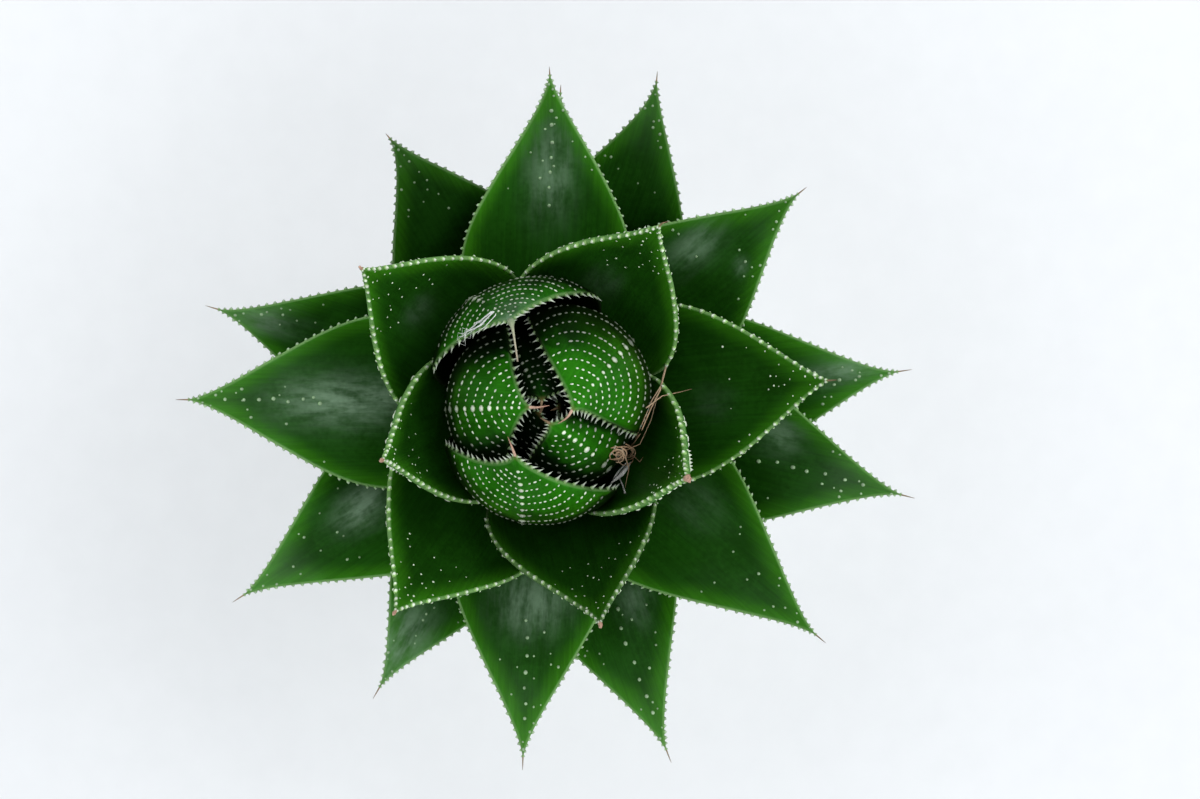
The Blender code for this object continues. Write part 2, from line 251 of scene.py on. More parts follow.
mottle, given, out = start_group(
    "mottle",
    (("Vector", VECTOR, None), ("Scale", FLOAT, 100.0), ("Finer", FLOAT, 6.0)),
    (("Mask", FLOAT), ("Height", FLOAT)),
)
broad = noise_at(mottle, given["Vector"], given["Scale"], 3.0, 0.55)
fine_scale = math_node(mottle, "MULTIPLY", given["Scale"], given["Finer"])
fine = noise_at(mottle, given["Vector"], fine_scale, 2.0)
mixed = math_node(mottle, "MULTIPLY", fine, FINE_SHARE)
mixed = scaled(mottle, broad, 1 - FINE_SHARE, mixed)
mottle.links.new(ramp(mottle, mixed, 0.32, 0.68), out["Mask"])
mottle.links.new(mixed, out["Height"])

grain, given, out = start_group(
    "grain_along",
    (
        ("Vector", VECTOR, None),
        ("Across", FLOAT, 2.0),
        ("Along", FLOAT, 0.08),
        ("Seed", FLOAT, 0.0),
    ),
    (("Mask", FLOAT), ("Height", FLOAT)),
)
parts = split(grain, given["Vector"])
across = math_node(grain, "MULTIPLY", parts["X"], given["Across"])
along = math_node(grain, "MULTIPLY", parts["Y"], given["Along"])
stretched = add_node(grain, "ShaderNodeCombineXYZ", {"X": across, "Y": along, "Z": given["Seed"]})
fibres = noise_at(grain, stretched.outputs[0], 1.0, 3.0, 0.6)
grain.links.new(ramp(grain, fibres, 0.35, 0.65), out["Mask"])
grain.links.new(fibres, out["Height"])
print("groups:", mottle.name, "and", grain.name)

# %% [markdown]
# ## The leaf's skin
# A lace aloe's leaf is a deep glossy green, darkest down the middle and fresher towards the
# margins, with a thin pale line along the very edge. Its back is a lighter yellowish green. The
# pattern has to follow the leaf, so each leaf carries attributes. *lie* holds a point's distance
# across from the midline, down from the tip and in from the margin, in millimetres. *own* holds
# its side, upper or back, the leaf's age, and a number of the leaf's own. Two more single numbers,
# laid on further down, carry painted shade and a painted sheen into the colour.

# %% The skin's material
UPPER_DEEP = (0.009, 0.06, 0.003)
UPPER_FRESH = (0.034, 0.175, 0.006)
BACK_DEEP = (0.016, 0.155, 0.002)
BACK_FRESH = (0.075, 0.26, 0.004)
MARGIN_PALE = (0.22, 0.40, 0.14)
TIP_DRY = (0.14, 0.10, 0.03)
# The grey-green colour of the painted sheen, a highlight painted into the leaves' colour.
PAINTED_SHEEN_COLOUR = (0.21, 0.33, 0.21)


def start_material(name, roughness, specular, coat=0.0, coat_roughness=0.3):
    material = bpy.data.materials.new(name)
    material.use_nodes = True
    shader = material.node_tree.nodes["Principled BSDF"]
    shader.inputs["Roughness"].default_value = roughness
    shader.inputs["Specular IOR Level"].default_value = specular
    shader.inputs["Coat Weight"].default_value = coat
    shader.inputs["Coat Roughness"].default_value = coat_roughness
    return material, material.node_tree, shader.inputs


def add_bump(tree, shader, height, strength, distance):
    inputs = {"Height": height, "Strength": strength, "Distance": distance}
    bump = add_node(tree, "ShaderNodeBump", inputs)
    tree.links.new(bump.outputs["Normal"], shader["Normal"])


def times(tree, colour, share):
    """A colour made lighter or darker by a number."""
    grey = add_node(tree, "ShaderNodeCombineColor", {0: share, 1: share, 2: share}).outputs[0]
    return blend_colours(tree, 1.0, colour, grey, "MULTIPLY")


leaf_skin, tree, shader = start_material("leaf_skin", 0.4, 0.04, coat=0.1, coat_roughness=0.28)
lie = attribute(tree, "lie")
own = attribute(tree, "own")
openness = attribute(tree, "open", "Fac")
painted_sheen = attribute(tree, "painted_sheen", "Fac")
place = object_place(tree)
lie_parts = split(tree, lie)
own_parts = split(tree, own)

veins = use_group(tree, grain, {"Vector": lie, "Across": 1.6, "Along": 0.05, "Seed": own_parts["Z"]})
cells = use_group(tree, mottle, {"Vector": place, "Scale": 110.0, "Finer": 9.0})
from_edge = scaled(tree, cells["Mask"], 2.5, lie_parts["Z"])
near_edge = ramp(tree, from_edge, 0.4, 6.5, 1.0, 0.0)
upper = blend_colours(tree, near_edge, UPPER_DEEP, UPPER_FRESH)
lower_down = ramp(tree, lie_parts["Y"], 14.0, 38.0)
back = blend_colours(tree, lower_down, BACK_DEEP, BACK_FRESH)
on_back = ramp(tree, own_parts["X"], 0.35, 0.65)
green = blend_colours(tree, on_back, upper, back)
tone = ramp(tree, veins["Mask"], 0.0, 1.0, 0.91, 1.09)
tone = math_node(tree, "MULTIPLY", tone, ramp(tree, cells["Mask"], 0.0, 1.0, 0.84, 1.16))
tone = math_node(tree, "MULTIPLY", tone, ramp(tree, own_parts["Z"], 0.0, 10.0, 0.92, 1.08))
green = times(tree, green, tone)
rim_line = ramp(tree, lie_parts["Z"], 0.05, 0.6, 1.0, 0.0)
rim_line = math_node(tree, "MULTIPLY", rim_line, ramp(tree, lie_parts["Y"], 5.0, 22.0, 0.42, 0.75))
green = blend_colours(tree, rim_line, green, MARGIN_PALE)
# Painted sheen: a grey-green highlight is painted in streaks where the sheen patches lie.
streaks = use_group(tree, grain, {"Vector": lie, "Across": 0.5, "Along": 0.13, "Seed": own_parts["Z"]})
painted_sheen_mask = scaled(tree, streaks["Mask"], 0.6, 0.15)
painted_sheen_mask = scaled(tree, cells["Mask"], 0.35, painted_sheen_mask)
painted_sheen_mask = math_node(tree, "MULTIPLY", painted_sheen_mask, painted_sheen, clamp=True)
green = blend_colours(tree, painted_sheen_mask, green, PAINTED_SHEEN_COLOUR)
# Painted shade: the green is darkened where the corner sees little sky.
green = times(tree, green, ramp(tree, openness, 0.0, 1.0, 0.05, 1.0))
dry = ramp(tree, lie_parts["Y"], 0.5, 2.2, 0.8, 0.0)
green = blend_colours(tree, dry, green, TIP_DRY)
tree.links.new(green, shader["Base Color"])
glossy = scaled(tree, cells["Mask"], 0.12, 0.2)
glossy = scaled(tree, on_back, -0.16, glossy, clamp=True)
glossy = math_node(tree, "MULTIPLY", glossy, openness)
tree.links.new(glossy, shader["Coat Weight"])
gloss = scaled(tree, cells["Mask"], 0.12, 0.29)
gloss = scaled(tree, veins["Mask"], 0.06, gloss)
gloss = scaled(tree, on_back, 0.28, gloss)
tree.links.new(gloss, shader["Roughness"])
skin_height = scaled(tree, veins["Height"], 1.2, cells["Height"])
add_bump(tree, shader, skin_height, 0.35, 0.35 * MM)
print("leaf skin:", len(tree.nodes), "nodes")

# %% [markdown]
# ## The teeth and tubercles
# Teeth and tubercles are small pearls of hard white tissue. They stand on the green skin and take
# some green at the foot. On them *lie* holds the height up the tooth, from 0 to 1, as its last
# number, so one finish serves them all.

# %% The pearl material
PEARL_FOOT = (0.25, 0.46, 0.12)
PEARL_WHITE = (0.78, 0.86, 0.70)
PEARL_FAINT = (0.10, 0.24, 0.07)

pearl, tree, shader = start_material("pearl", 0.4, 0.5)
lie = attribute(tree, "lie")
own = attribute(tree, "own")
place = object_place(tree)
lie_parts = split(tree, lie)
own_parts = split(tree, own)
openness = attribute(tree, "open", "Fac")
cells = use_group(tree, mottle, {"Vector": place, "Scale": 900.0, "Finer": 5.0})
beaded = ramp(tree, own_parts["X"], 1.0, 1.1, 0.0, 0.2)
whiteness = math_node(tree, "SUBTRACT", lie_parts["Z"], beaded)
whiteness = ramp(tree, whiteness, 0.0, 0.5)
shade = blend_colours(tree, whiteness, PEARL_FOOT, PEARL_WHITE)
tone = scaled(tree, own_parts["Z"], 0.03, 0.72)
tone = scaled(tree, cells["Mask"], 0.1, tone)
faint = ramp(tree, own_parts["X"], 1.0, 2.0, 0.0, 0.72)
shade = blend_colours(tree, faint, shade, PEARL_FAINT)
# Painted shade on the pearls where they see little sky, and a touch of painted light in the open.
tone = math_node(tree, "MULTIPLY", tone, ramp(tree, openness, 0.0, 1.0, 0.22, 1.08))
tree.links.new(times(tree, shade, tone), shader["Base Color"])
tree.links.new(scaled(tree, cells["Mask"], 0.2, 0.32), shader["Roughness"])
add_bump(tree, shader, cells["Height"], 0.25, 0.05 * MM)
print("pearl:", len(tree.nodes), "nodes")

# %% [markdown]
# ## Dry tissue
# The leaves end in thin awns that dry to a pinkish tan, darker at the point. The same dry tissue,
# paler or browner, is what has fallen among the leaves.


# %% The dry materials
def dry_tissue(name, foot, point, roughness=0.6):
    """Fibrous dead tissue that goes from one colour at its foot to another at its point."""
    material, tree, shader = start_material(name, roughness, 0.3)
    lie = attribute(tree, "lie")
    place = object_place(tree)
    up_it = split(tree, lie)["Z"]
    fibres = use_group(tree, grain, {"Vector": lie, "Across": 9.0, "Along": 0.8})
    spots = use_group(tree, mottle, {"Vector": place, "Scale": 700.0, "Finer": 4.0})
    shade = blend_colours(tree, up_it, foot, point)
    tone = scaled(tree, fibres["Mask"], 0.35, 0.7)
    tone = scaled(tree, spots["Mask"], 0.25, tone)
    tree.links.new(times(tree, shade, tone), shader["Base Color"])
    rough = scaled(tree, spots["Mask"], 0.2, roughness - 0.1)
    tree.links.new(rough, shader["Roughness"])
    add_bump(tree, shader, fibres["Height"], 0.5, 0.08 * MM)
    return material


awn_tan = dry_tissue("awn_tan", (0.30, 0.22, 0.12), (0.16, 0.09, 0.05))
awn_pink = dry_tissue("awn_pink", (0.62, 0.42, 0.31), (0.42, 0.22, 0.15))
awn_pale = dry_tissue("awn_pale", (0.24, 0.34, 0.18), (0.50, 0.42, 0.32), roughness=0.5)
straw = dry_tissue("straw", (0.56, 0.40, 0.26), (0.42, 0.26, 0.15))
silvery = dry_tissue("silvery", (0.9, 0.9, 0.87), (0.82, 0.8, 0.75), roughness=0.45)
fluff_white = dry_tissue("fluff_white", (0.90, 0.92, 0.90), (0.86, 0.88, 0.86))
print("dry tissue in six tones")

# %% [markdown]
# ## How the rosette is laid out
# The leaves follow a golden-angle spiral from the youngest in the bud to the oldest. Each leaf
# lies in a bowl of its own, a surface turned about the plant's axis, and the bowls nest, so the
# leaves wrap round each other and never cross. The numbers are those of the solids, one row for
# each leaf: the direction in degrees, the reach and the height of the tip in millimetres, its
# heading, its step to the side and its breadth.

# %% The leaves' numbers
LEAVES = (
    (10, 0.4, 131, 110, -0.4, 1.0),
    (229, 1.4, 132.5, 114, -1.2, 1.0),
    (99, 0.8, 134.5, 120, 2.0, 1.0),
    (311, 0.8, 137, 126, -2.6, 1.0),
    (178, 3.6, 138.5, 127, 0.0, 1.0),
    (43, 1.2, 139.7, 132, -2.6, 1.0),
    (256, 9.4, 139.5, 118, -5.2, 1.0),
    (114, 17.2, 139, 101, 1.0, 1.0),
    (333, 29.8, 138, 74.5, 0.0, 1.0),
    (198, 31.5, 137, 64, 0.6, 0.88),
    (57, 39.6, 137, 58, 0.0, 1.0),
    (286.5, 42.2, 135, 54, -1.5, 1.04),
    (143, 42.4, 134, 52, 0.0, 1.0),
    (5, 54.4, 128, 44, 0.0, 1.04),
    (234.5, 48.0, 130, 48, 0.0, 1.04),
    (87.5, 63.4, 124, 40, 1.6, 1.0),
    (320, 69.3, 119, 36, 0.0, 0.96),
    (179, 69.6, 117, 34, 0.0, 1.0),
    (39.3, 65.2, 115, 32, 0.0, 1.04),
    (266.6, 69.6, 112, 30, 0.0, 1.0),
    (117.5, 61.0, 110, 28, 2.8, 1.22),
    (346, 74.0, 107, 26, 0.0, 1.0),
    (212.4, 71.4, 105, 25, 0.0, 0.94),
    (66.5, 69.2, 102, 24, 5.2, 1.1),
    (289.6, 74.6, 99, 22, 0.0, 0.96),
    (163.4, 69.4, 97, 20, 0.0, 1.0),
    (4.5, 73.4, 94, 18, 1.2, 1.04),
    (239.8, 67.6, 92, 16, 0.0, 1.0),
    (87, 65.0, 90, 14, 0.0, 1.0),
)
OLDEST = len(LEAVES) - 1
BUD_LEAVES = 8
CUP_LEAVES = 15
LEAF_BASE_TOP = 109 * MM
LEAF_BASE_STEP = 1.25 * MM
APEX_LEAVES = 13
BASE_CLASP = math.radians(41)
LEVEL_BASE = 4
YOUNG_BASE = 34
STEEPEST_BASE = 25
CLASP_FROM = 0.08
CLASP_OVER = 0.3
STEM_GAP = 0.55 * MM
CURVE_STEPS = 240

Habit = namedtuple("Habit", "width clasp widening drawn base fleshy base_pull tip_pull")
BUD = Habit(42 * MM, math.radians(63), 0.95, 3 * MM, 2.3 * MM, 2.8 * MM, 0.62, 0.55)
CUP = Habit(40 * MM, math.radians(47), 0.68, 4 * MM, 2.9 * MM, 4.0 * MM, 0.48, 0.42)
SPREAD = Habit(37.5 * MM, math.radians(42), 0.64, 9.5 * MM, 3.3 * MM, 4.5 * MM, 0.42, 0.42)
MARGINS = {BUD: 0.9 * MM, CUP: 1.1 * MM, SPREAD: 0.9 * MM}
print(len(LEAVES), "leaves")

# %% [markdown]
# The whole plant leans a little as it grows and is slightly uneven. One function moves every point
# of it, so neighbours move together and stay apart.

# %% The lean and the unevenness of the plant
LEAN_FROM = 90 * MM
LEAN_OVER = 45 * MM
LEAN = Vector((1.85, -0.55, 0.0)) * MM
UNEVEN = 0.5 * MM
UNEVEN_SIZE = 45 * MM
UNEVEN_FROM = 74 * MM
UNEVEN_OVER = 14 * MM
UNEVEN_AXES = (Vector((0, 0, 0)), Vector((9, 0, 0)), Vector((0, 9, 0)))
STEM_RADIUS = 10.6 * MM
STEM_TIP_RADIUS = 2.2 * MM
STEM_TOP = 110.5 * MM


def smooth_step(value):
    value = min(max(value, 0.0), 1.0)
    return value * value * (3 - 2 * value)


def soft_min(*values, sharpness=6):
    """The smallest of some lengths, with the corner between them rounded."""
    smallest = min(values)
    if smallest <= 0:
        return 0.0
    return smallest * sum((smallest / value) ** sharpness for value in values) ** (-1 / sharpness)


def uneven(point):
    rise = max(0.0, (point.z - LEAN_FROM) / LEAN_OVER)
    drift = Vector([noise.noise(point / UNEVEN_SIZE + apart) for apart in UNEVEN_AXES]) * UNEVEN
    return point + LEAN * rise**1.5 + drift * smooth_step((point.z - UNEVEN_FROM) / UNEVEN_OVER)


def base_height(age):
    return LEAF_BASE_TOP - LEAF_BASE_STEP * age


def stem_radius(height):
    share = (STEM_TOP - height) / (STEM_TOP - base_height(APEX_LEAVES))
    return STEM_TIP_RADIUS + (STEM_RADIUS - STEM_TIP_RADIUS) * min(1.0, max(0.0, share)) ** 0.8


# %% [markdown]
# ## One leaf
# A leaf follows a curve from the stem to its tip. At each station along it the leaf has a width, a
# thickness and a rounded rim. The point function turns three handy numbers into a place in space:
# the share of the length, how far across, from -1 to 1, and the depth, 0 on top and 1 on the back.
# Teeth, tubercles and the body itself all ask it, so they always agree. The solid's leaves are
# smooth. Here they also have a soft keel, which runs down the back a little to one side of the
# middle, as on the real plant, and a slow waviness that keeps them from looking machined.

# %% The leaf as a function
Station = namedtuple("Station", "spot up side rim thick from_tip away")
LEAST_RADIUS = 0.2 * MM
SWELL_FROM = 0.15
SWELL_OVER = 0.35
TAPERS = ((0.7 * MM, 0.16), (0.2 * MM, 0.3))
BACK_FULLNESS = 2.4
KEEL = 0.45 * MM
KEEL_WIDTH = 1.2 * MM
KEEL_FADE = 6 * MM
KEEL_MOST = 0.4
KEEL_TURN = math.radians(14)
KEEL_TURNS = {
    3: math.radians(2),
    4: math.radians(3),
    5: math.radians(-3),
    6: math.radians(2),
    7: math.radians(12),
}
WAVE = 0.16 * MM
WAVE_SIZE = 7 * MM
WAVE_FADE = 12 * MM


class Leaf:
    """One leaf: its curve from the stem to the tip, and the outline and thickness along it."""

    def __init__(self, age, direction, reach, height, heading, sidestep, breadth):
        self.age = age
        self.name = f"leaf_{age + 1:02d}"
        self.breadth = breadth
        self.habit = BUD if age < BUD_LEAVES else CUP if age < CUP_LEAVES else SPREAD
        self.sidestep = sidestep * MM
        lean = LEAN * max(0.0, (height * MM - LEAN_FROM) / LEAN_OVER) ** 1.5
        tip = Vector((reach * MM, 0, height * MM))
        self.turn = math.radians(direction)
        if age >= BUD_LEAVES:
            seen = Matrix.Rotation(self.turn, 3, "Z") @ tip - lean
            self.turn = math.atan2(seen.y, seen.x)
            tip.x = math.hypot(seen.x, seen.y)
        low = base_height(age)
        base = Vector((stem_radius(low) + STEM_GAP, 0, low))
        youth = 1 - age / OLDEST
        rise = math.radians(min(LEVEL_BASE + YOUNG_BASE * youth**1.6, STEEPEST_BASE))
        head = math.radians(heading)
        span = (tip - base).length
        start = base + Vector((math.cos(rise), 0, math.sin(rise))) * span * self.habit.base_pull
        end = tip - Vector((math.cos(head), 0, math.sin(head))) * span * self.habit.tip_pull
        self.curve = geometry.interpolate_bezier(base, start, end, tip, CURVE_STEPS)
        self.reached = [0.0]
        for a, b in zip(self.curve, self.curve[1:]):
            self.reached.append(self.reached[-1] + (b - a).length)
        self.length = self.reached[-1]
        self.stations = {}
        self.seed = random.Random(age).random() * 10
        self.keel_turn = KEEL_TURNS.get(age, KEEL_TURN)

    def along(self, share):
        """The point of the curve and its heading at a share of the length, base to tip."""
        wanted = share * self.length
        n = 1
        while n < len(self.reached) - 1 and self.reached[n] < wanted:
            n += 1
        step = self.reached[n] - self.reached[n - 1]
        here = (wanted - self.reached[n - 1]) / step
        way = (self.curve[n] - self.curve[n - 1]).normalized()
        return self.curve[n - 1].lerp(self.curve[n], here), way

    def half_width(self, share, radius):
        from_tip = (1 - share) * self.length
        side = self.breadth * self.habit.widening * from_tip**2 / (from_tip + self.habit.drawn)
        opened = smooth_step((share - CLASP_FROM) / CLASP_OVER)
        clasp = BASE_CLASP + (self.habit.clasp - BASE_CLASP) * opened
        return soft_min(side, self.habit.width / 2, clasp * radius, sharpness=10)

    def thickness(self, share):
        swell = smooth_step((share - SWELL_FROM) / SWELL_OVER)
        body = self.habit.base + (self.habit.fleshy - self.habit.base) * swell
        from_tip = (1 - share) * self.length
        tapers = [thin + slope * from_tip for thin, slope in TAPERS]
        return soft_min(body, *tapers, sharpness=4)

    def station(self, share):
        if share not in self.stations:
            spot, way = self.along(share)
            up = Vector((-way.z, 0, way.x))
            thick = self.thickness(share)
            side = self.half_width(share, max(spot.x, LEAST_RADIUS))
            from_tip = (1 - share) * self.length
            away = smooth_step(from_tip / WAVE_FADE) * smooth_step(share * 4)
            rim = min(MARGINS[self.habit], thick)
            self.stations[share] = Station(spot, up, side, rim, thick, from_tip, away)
        return self.stations[share]

    def relief(self, at, across, depth):
        """How far the waviness and the keel move the skin outwards on the back's side."""
        lateral = across * at.side
        grid = Vector((lateral, at.from_tip, self.seed * 9 * MM)) / WAVE_SIZE
        wave = WAVE * at.away * noise.noise(grid)
        crest_at = min(math.tan(self.keel_turn) * at.from_tip, KEEL_MOST * at.side)
        crest = math.exp(-(((lateral - crest_at) / KEEL_WIDTH) ** 2))
        fade = smooth_step(at.from_tip / KEEL_FADE) * smooth_step(1.6 - at.from_tip / self.length * 2)
        return wave + KEEL * crest * fade * smooth_step(depth * 2 - 1)

    def point(self, share, across, depth):
        """A point of the leaf: depth 0 on its upper face and 1 on its back."""
        at = self.station(share)
        deep = at.rim + (at.thick - at.rim) * (1 - abs(across) ** BACK_FULLNESS)
        flat = at.spot - at.up * (depth * deep + self.relief(at, across, depth))
        swing = across * at.side / max(at.spot.x, LEAST_RADIUS)
        shown = Matrix.Rotation(swing, 3, "Z") @ flat
        shown.y += self.sidestep * share**4
        return uneven(Matrix.Rotation(self.turn, 3, "Z") @ shown)


leaves = [Leaf(age, *numbers) for age, numbers in enumerate(LEAVES)]
print("lengths", [round(leaf.length / MM) for leaf in leaves])

# %% [markdown]
# ## Skins from a wrapped grid
# A leaf, a tooth, an awn and a straw are all tubes with a closed foot and a point. One helper makes
# them all: it takes Blender's flat grid, wraps it round, and asks a function where each of its
# corners goes. The corners that meet are merged afterwards. Beside *lie* and *own*, each corner
# keeps in *open* how much of the sky it can see, which is painted into its colour as shade, and a
# number for the painted sheen.

# %% The wrapped grid
SAME_PLACE = 0.001 * MM


def new_skin():
    """A bmesh whose corners carry the attributes that the finishes read."""
    bm = bmesh.new()
    bm.verts.layers.float_vector.new("lie")
    bm.verts.layers.float_vector.new("own")
    # The last two carry painted shade and a painted sheen into the colour.
    bm.verts.layers.float.new("open")
    bm.verts.layers.float.new("painted_sheen")
    return bm


def wrap_grid(bm, columns, rows, spot, openness=1.0):
    """Wraps a grid of columns and rows into a tube; spot(column, row) gives each corner."""
    lie = bm.verts.layers.float_vector["lie"]
    own = bm.verts.layers.float_vector["own"]
    open_layer = bm.verts.layers.float["open"]
    made = bmesh.ops.create_grid(bm, x_segments=columns, y_segments=rows, size=1.0)["verts"]
    for number, vert in enumerate(made):
        row, column = divmod(number, columns + 1)
        vert.co, vert[lie], vert[own] = spot(column % columns, row)
        vert[open_layer] = openness


def close_up(bm):
    """Merges the corners that meet and turns every face outwards."""
    bmesh.ops.remove_doubles(bm, verts=bm.verts, dist=SAME_PLACE)
    bmesh.ops.recalc_face_normals(bm, faces=bm.faces)


def add_copy(whole, bm):
    """Adds a copy of one bmesh to another."""
    part = bpy.data.meshes.new("part")
    bm.to_mesh(part)
    whole.from_mesh(part)
    bpy.data.meshes.remove(part)


def finish_piece(name, layers, nodes=()):
    """Makes one object at the origin from bmeshes, each with its material."""
    whole = bmesh.new()
    mesh = bpy.data.meshes.new(name)
    for number, (bm, material) in enumerate(layers):
        close_up(bm)
        for face in bm.faces:
            face.material_index = number
            face.smooth = True
        add_copy(whole, bm)
        bm.free()
        mesh.materials.append(material)
    whole.to_mesh(mesh)
    whole.free()
    piece = bpy.data.objects.new(name, mesh)
    bpy.context.collection.objects.link(piece)
    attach(piece, "root")
    if nodes:
        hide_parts(*nodes)
    return piece


# %% [markdown]
# ## The body of a leaf
# The body has closely set rows near the tip, where it narrows fast, and closely set columns near
# the margins, where its rim is rounded.

# %% Make a leaf's body
FACE_STEPS = 22
BODY_ROWS = 54
ROW_CROWDING = 1.5


def make_body(leaf):
    bm = new_skin()

    def spot(column, row):
        share = 1 - (1 - row / BODY_ROWS) ** ROW_CROWDING
        own = (0.5, leaf.age / OLDEST, leaf.seed)
        if row == BODY_ROWS:
            return leaf.point(1.0, 0.0, 0.5), (0, 0, 0), own
        across = -math.cos(math.pi * column / FACE_STEPS)
        at = leaf.station(share)
        inset = (1 - abs(across)) * at.side
        bend = 1 - min(inset / (at.rim / 2), 1.0)
        half = 0.5 * math.sqrt(1 - bend * bend)
        depth = 0.5 - half if column <= FACE_STEPS else 0.5 + half
        lie = (across * at.side / MM, at.from_tip / MM, inset / MM)
        if row == 0:
            return leaf.point(share, across, 0.5), lie, own
        return leaf.point(share, across, depth), lie, (depth, *own[1:])

    wrap_grid(bm, 2 * FACE_STEPS, BODY_ROWS, spot)
    close_up(bm)
    return bm


bodies = [make_body(leaf) for leaf in leaves]
print(sum(len(bm.faces) for bm in bodies), "faces on the bodies")

# %% [markdown]
# ## How open each place is, and the painted shade
# Down in the bud the gaps between the leaves are nearly black. A few rays from each corner tell how
# much of the sky it sees past its neighbours, and the finishes paint shade into the green where that
# is little, so narrow gaps read as dark as they do on the plant. A few leaves and spots are painted
# darker still as shade, the steep flanks of the bud leaves are painted darker, and the tops of the
# bud leaves keep a little painted light.

# %% Measure the openness
RAY_RINGS = ((18, 3), (42, 6), (66, 7))
RAY_REACH = 26 * MM
RAY_START = 0.2 * MM
LOWEST_WAY = 0.15
OPEN_RANGE = {BUD: (0.34, 0.84), CUP: (-0.15, 0.5), SPREAD: (-0.15, 0.55)}
LEVEL_ENOUGH = 0.8
# How much light the bud's steep flanks keep in their painted shade, by leaf.
STEEP_SHARES = {6: 0.9, 7: 0.72}
STEEP_SHARE = 0.36
# Above this height the bud leaves keep a little painted light.
BUD_TOP = 128 * MM
TOP_LEAST = 0.13
# Spots of painted shade: a leaf's age, a pixel seen from above and a size in millimetres.
PAINTED_SHADE_SPOTS = (
    (4, (452, 438), 2.0),
    (4, (468, 444), 2.0),
    (4, (484, 449), 2.0),
    (4, (500, 448), 2.0),
    (4, (478, 350), 4.5),
    (3, (606, 492), 2.0),
    (5, (572, 330), 6.5),
    (5, (600, 318), 6.0),
)
# Leaves painted darker as shade, by age.
PAINTED_SHADE_LEAVES = {0: 0.3, 1: 0.3, 2: 0.3, 11: 0.5, 13: 0.8, 20: 0.45, 23: 0.6, 25: 0.8}
PAINTED_SHADE_DEPTH = 0.72
TOP_FADE = 8 * MM

rays = []
for tilt, count in RAY_RINGS:
    for number in range(count):
        turn = math.tau * (number + tilt / 50) / count
        flat = math.sin(math.radians(tilt))
        rays.append(Vector((flat * math.cos(turn), flat * math.sin(turn), math.cos(math.radians(tilt)))))
whole = bmesh.new()
for bm in bodies:
    add_copy(whole, bm)
rosette = bvhtree.BVHTree.FromBMesh(whole)
whole.free()
EYE = Vector((0, 0, CAMERA_HEIGHT))


def below(pixel):
    """The first point of the rosette under a pixel, and the way to it from the camera."""
    x = (pixel[0] - AXIS_PIXEL[0]) * PIXEL
    y = (AXIS_PIXEL[1] - pixel[1]) * PIXEL
    way = (Vector((x, y, TIP_LEVEL)) - EYE).normalized()
    return rosette.ray_cast(EYE, way)[0], way


painted_shade_spots = [(age, below(pixel)[0], size * MM) for age, pixel, size in PAINTED_SHADE_SPOTS]


def see_sky(leaf, foot, outward):
    """From 0 in a narrow gap to 1 in the open, as painted shade. The bud is shaded as if lit from above
    only.
    """
    turn = outward.to_track_quat("Z", "Y")
    start = foot + outward * RAY_START
    in_bud = leaf.habit is BUD
    free = 0
    for ray in rays:
        way = turn @ ray
        if in_bud and way.z < LOWEST_WAY:
            continue
        if rosette.ray_cast(start, way, RAY_REACH)[0] is None:
            free += 1
    low, high = OPEN_RANGE[leaf.habit]
    seen = smooth_step((free / len(rays) - low) / (high - low))
    if in_bud:
        steep = STEEP_SHARES.get(leaf.age, STEEP_SHARE)
        seen *= steep + (1 - steep) * smooth_step(outward.z / LEVEL_ENOUGH)
    for age, spot, size in painted_shade_spots:
        if age == leaf.age:
            seen *= 1 - PAINTED_SHADE_DEPTH * math.exp(-(((foot - spot).length / size) ** 2))
    seen = max(seen, TOP_LEAST * smooth_step((foot.z - BUD_TOP) / TOP_FADE))
    return seen * PAINTED_SHADE_LEAVES.get(leaf.age, 1.0)


# Every corner of the bodies gets its number for the painted shade.
for leaf, bm in zip(leaves, bodies):
    open_layer = bm.verts.layers.float["open"]
    for vert in bm.verts:
        vert[open_layer] = see_sky(leaf, vert.co, vert.normal)
print(len(rays), "rays for each corner")

# %% [markdown]
# ## The painted sheen
# Where the spreading leaves come out from under the cup, a soft grey sheen is painted on their smooth
# faces as a painted highlight, in streaks along the leaf, and faintly in the cup. The last two
# patches pale the thin tip of a bud leaf: the first for its dry, paler tip, the second as painted
# sheen. Each patch is centred on the leaf under a point seen from above.

# %% Lay the painted sheen
PAINTED_SHEEN_PATCHES = (
    (15, (548, 172), 4.0, 10, 0.62),
    (17, (356, 398), 4.2, 14, 1.15),
    (18, (692, 245), 3.0, 6, 0.6),
    (18, (741, 268), 1.4, 1.6, 0.5),
    (19, (530, 602), 6.5, 6, 0.95),
    (21, (783, 437), 3.5, 4.5, 0.5),
    (22, (363, 506), 3.2, 5.5, 1.4),
    (16, (700, 500), 4.0, 7, 0.2),
    (24, (637, 603), 3.0, 4.5, 0.6),
    (25, (275, 322), 2.4, 7, 0.4),
    (26, (835, 372), 2.6, 8, 0.6),
    (27, (405, 640), 4.5, 8, 0.8),
    (12, (421, 306), 3.0, 4.0, 0.3),
    (10, (600, 300), 2.5, 5.0, 0.3),
    (13, (668, 400), 3.0, 5.0, 0.15),
    (7, (508, 322), 1.8, 2.2, 1.0),
    (7, (518, 305), 4.0, 3.0, 0.4),
)

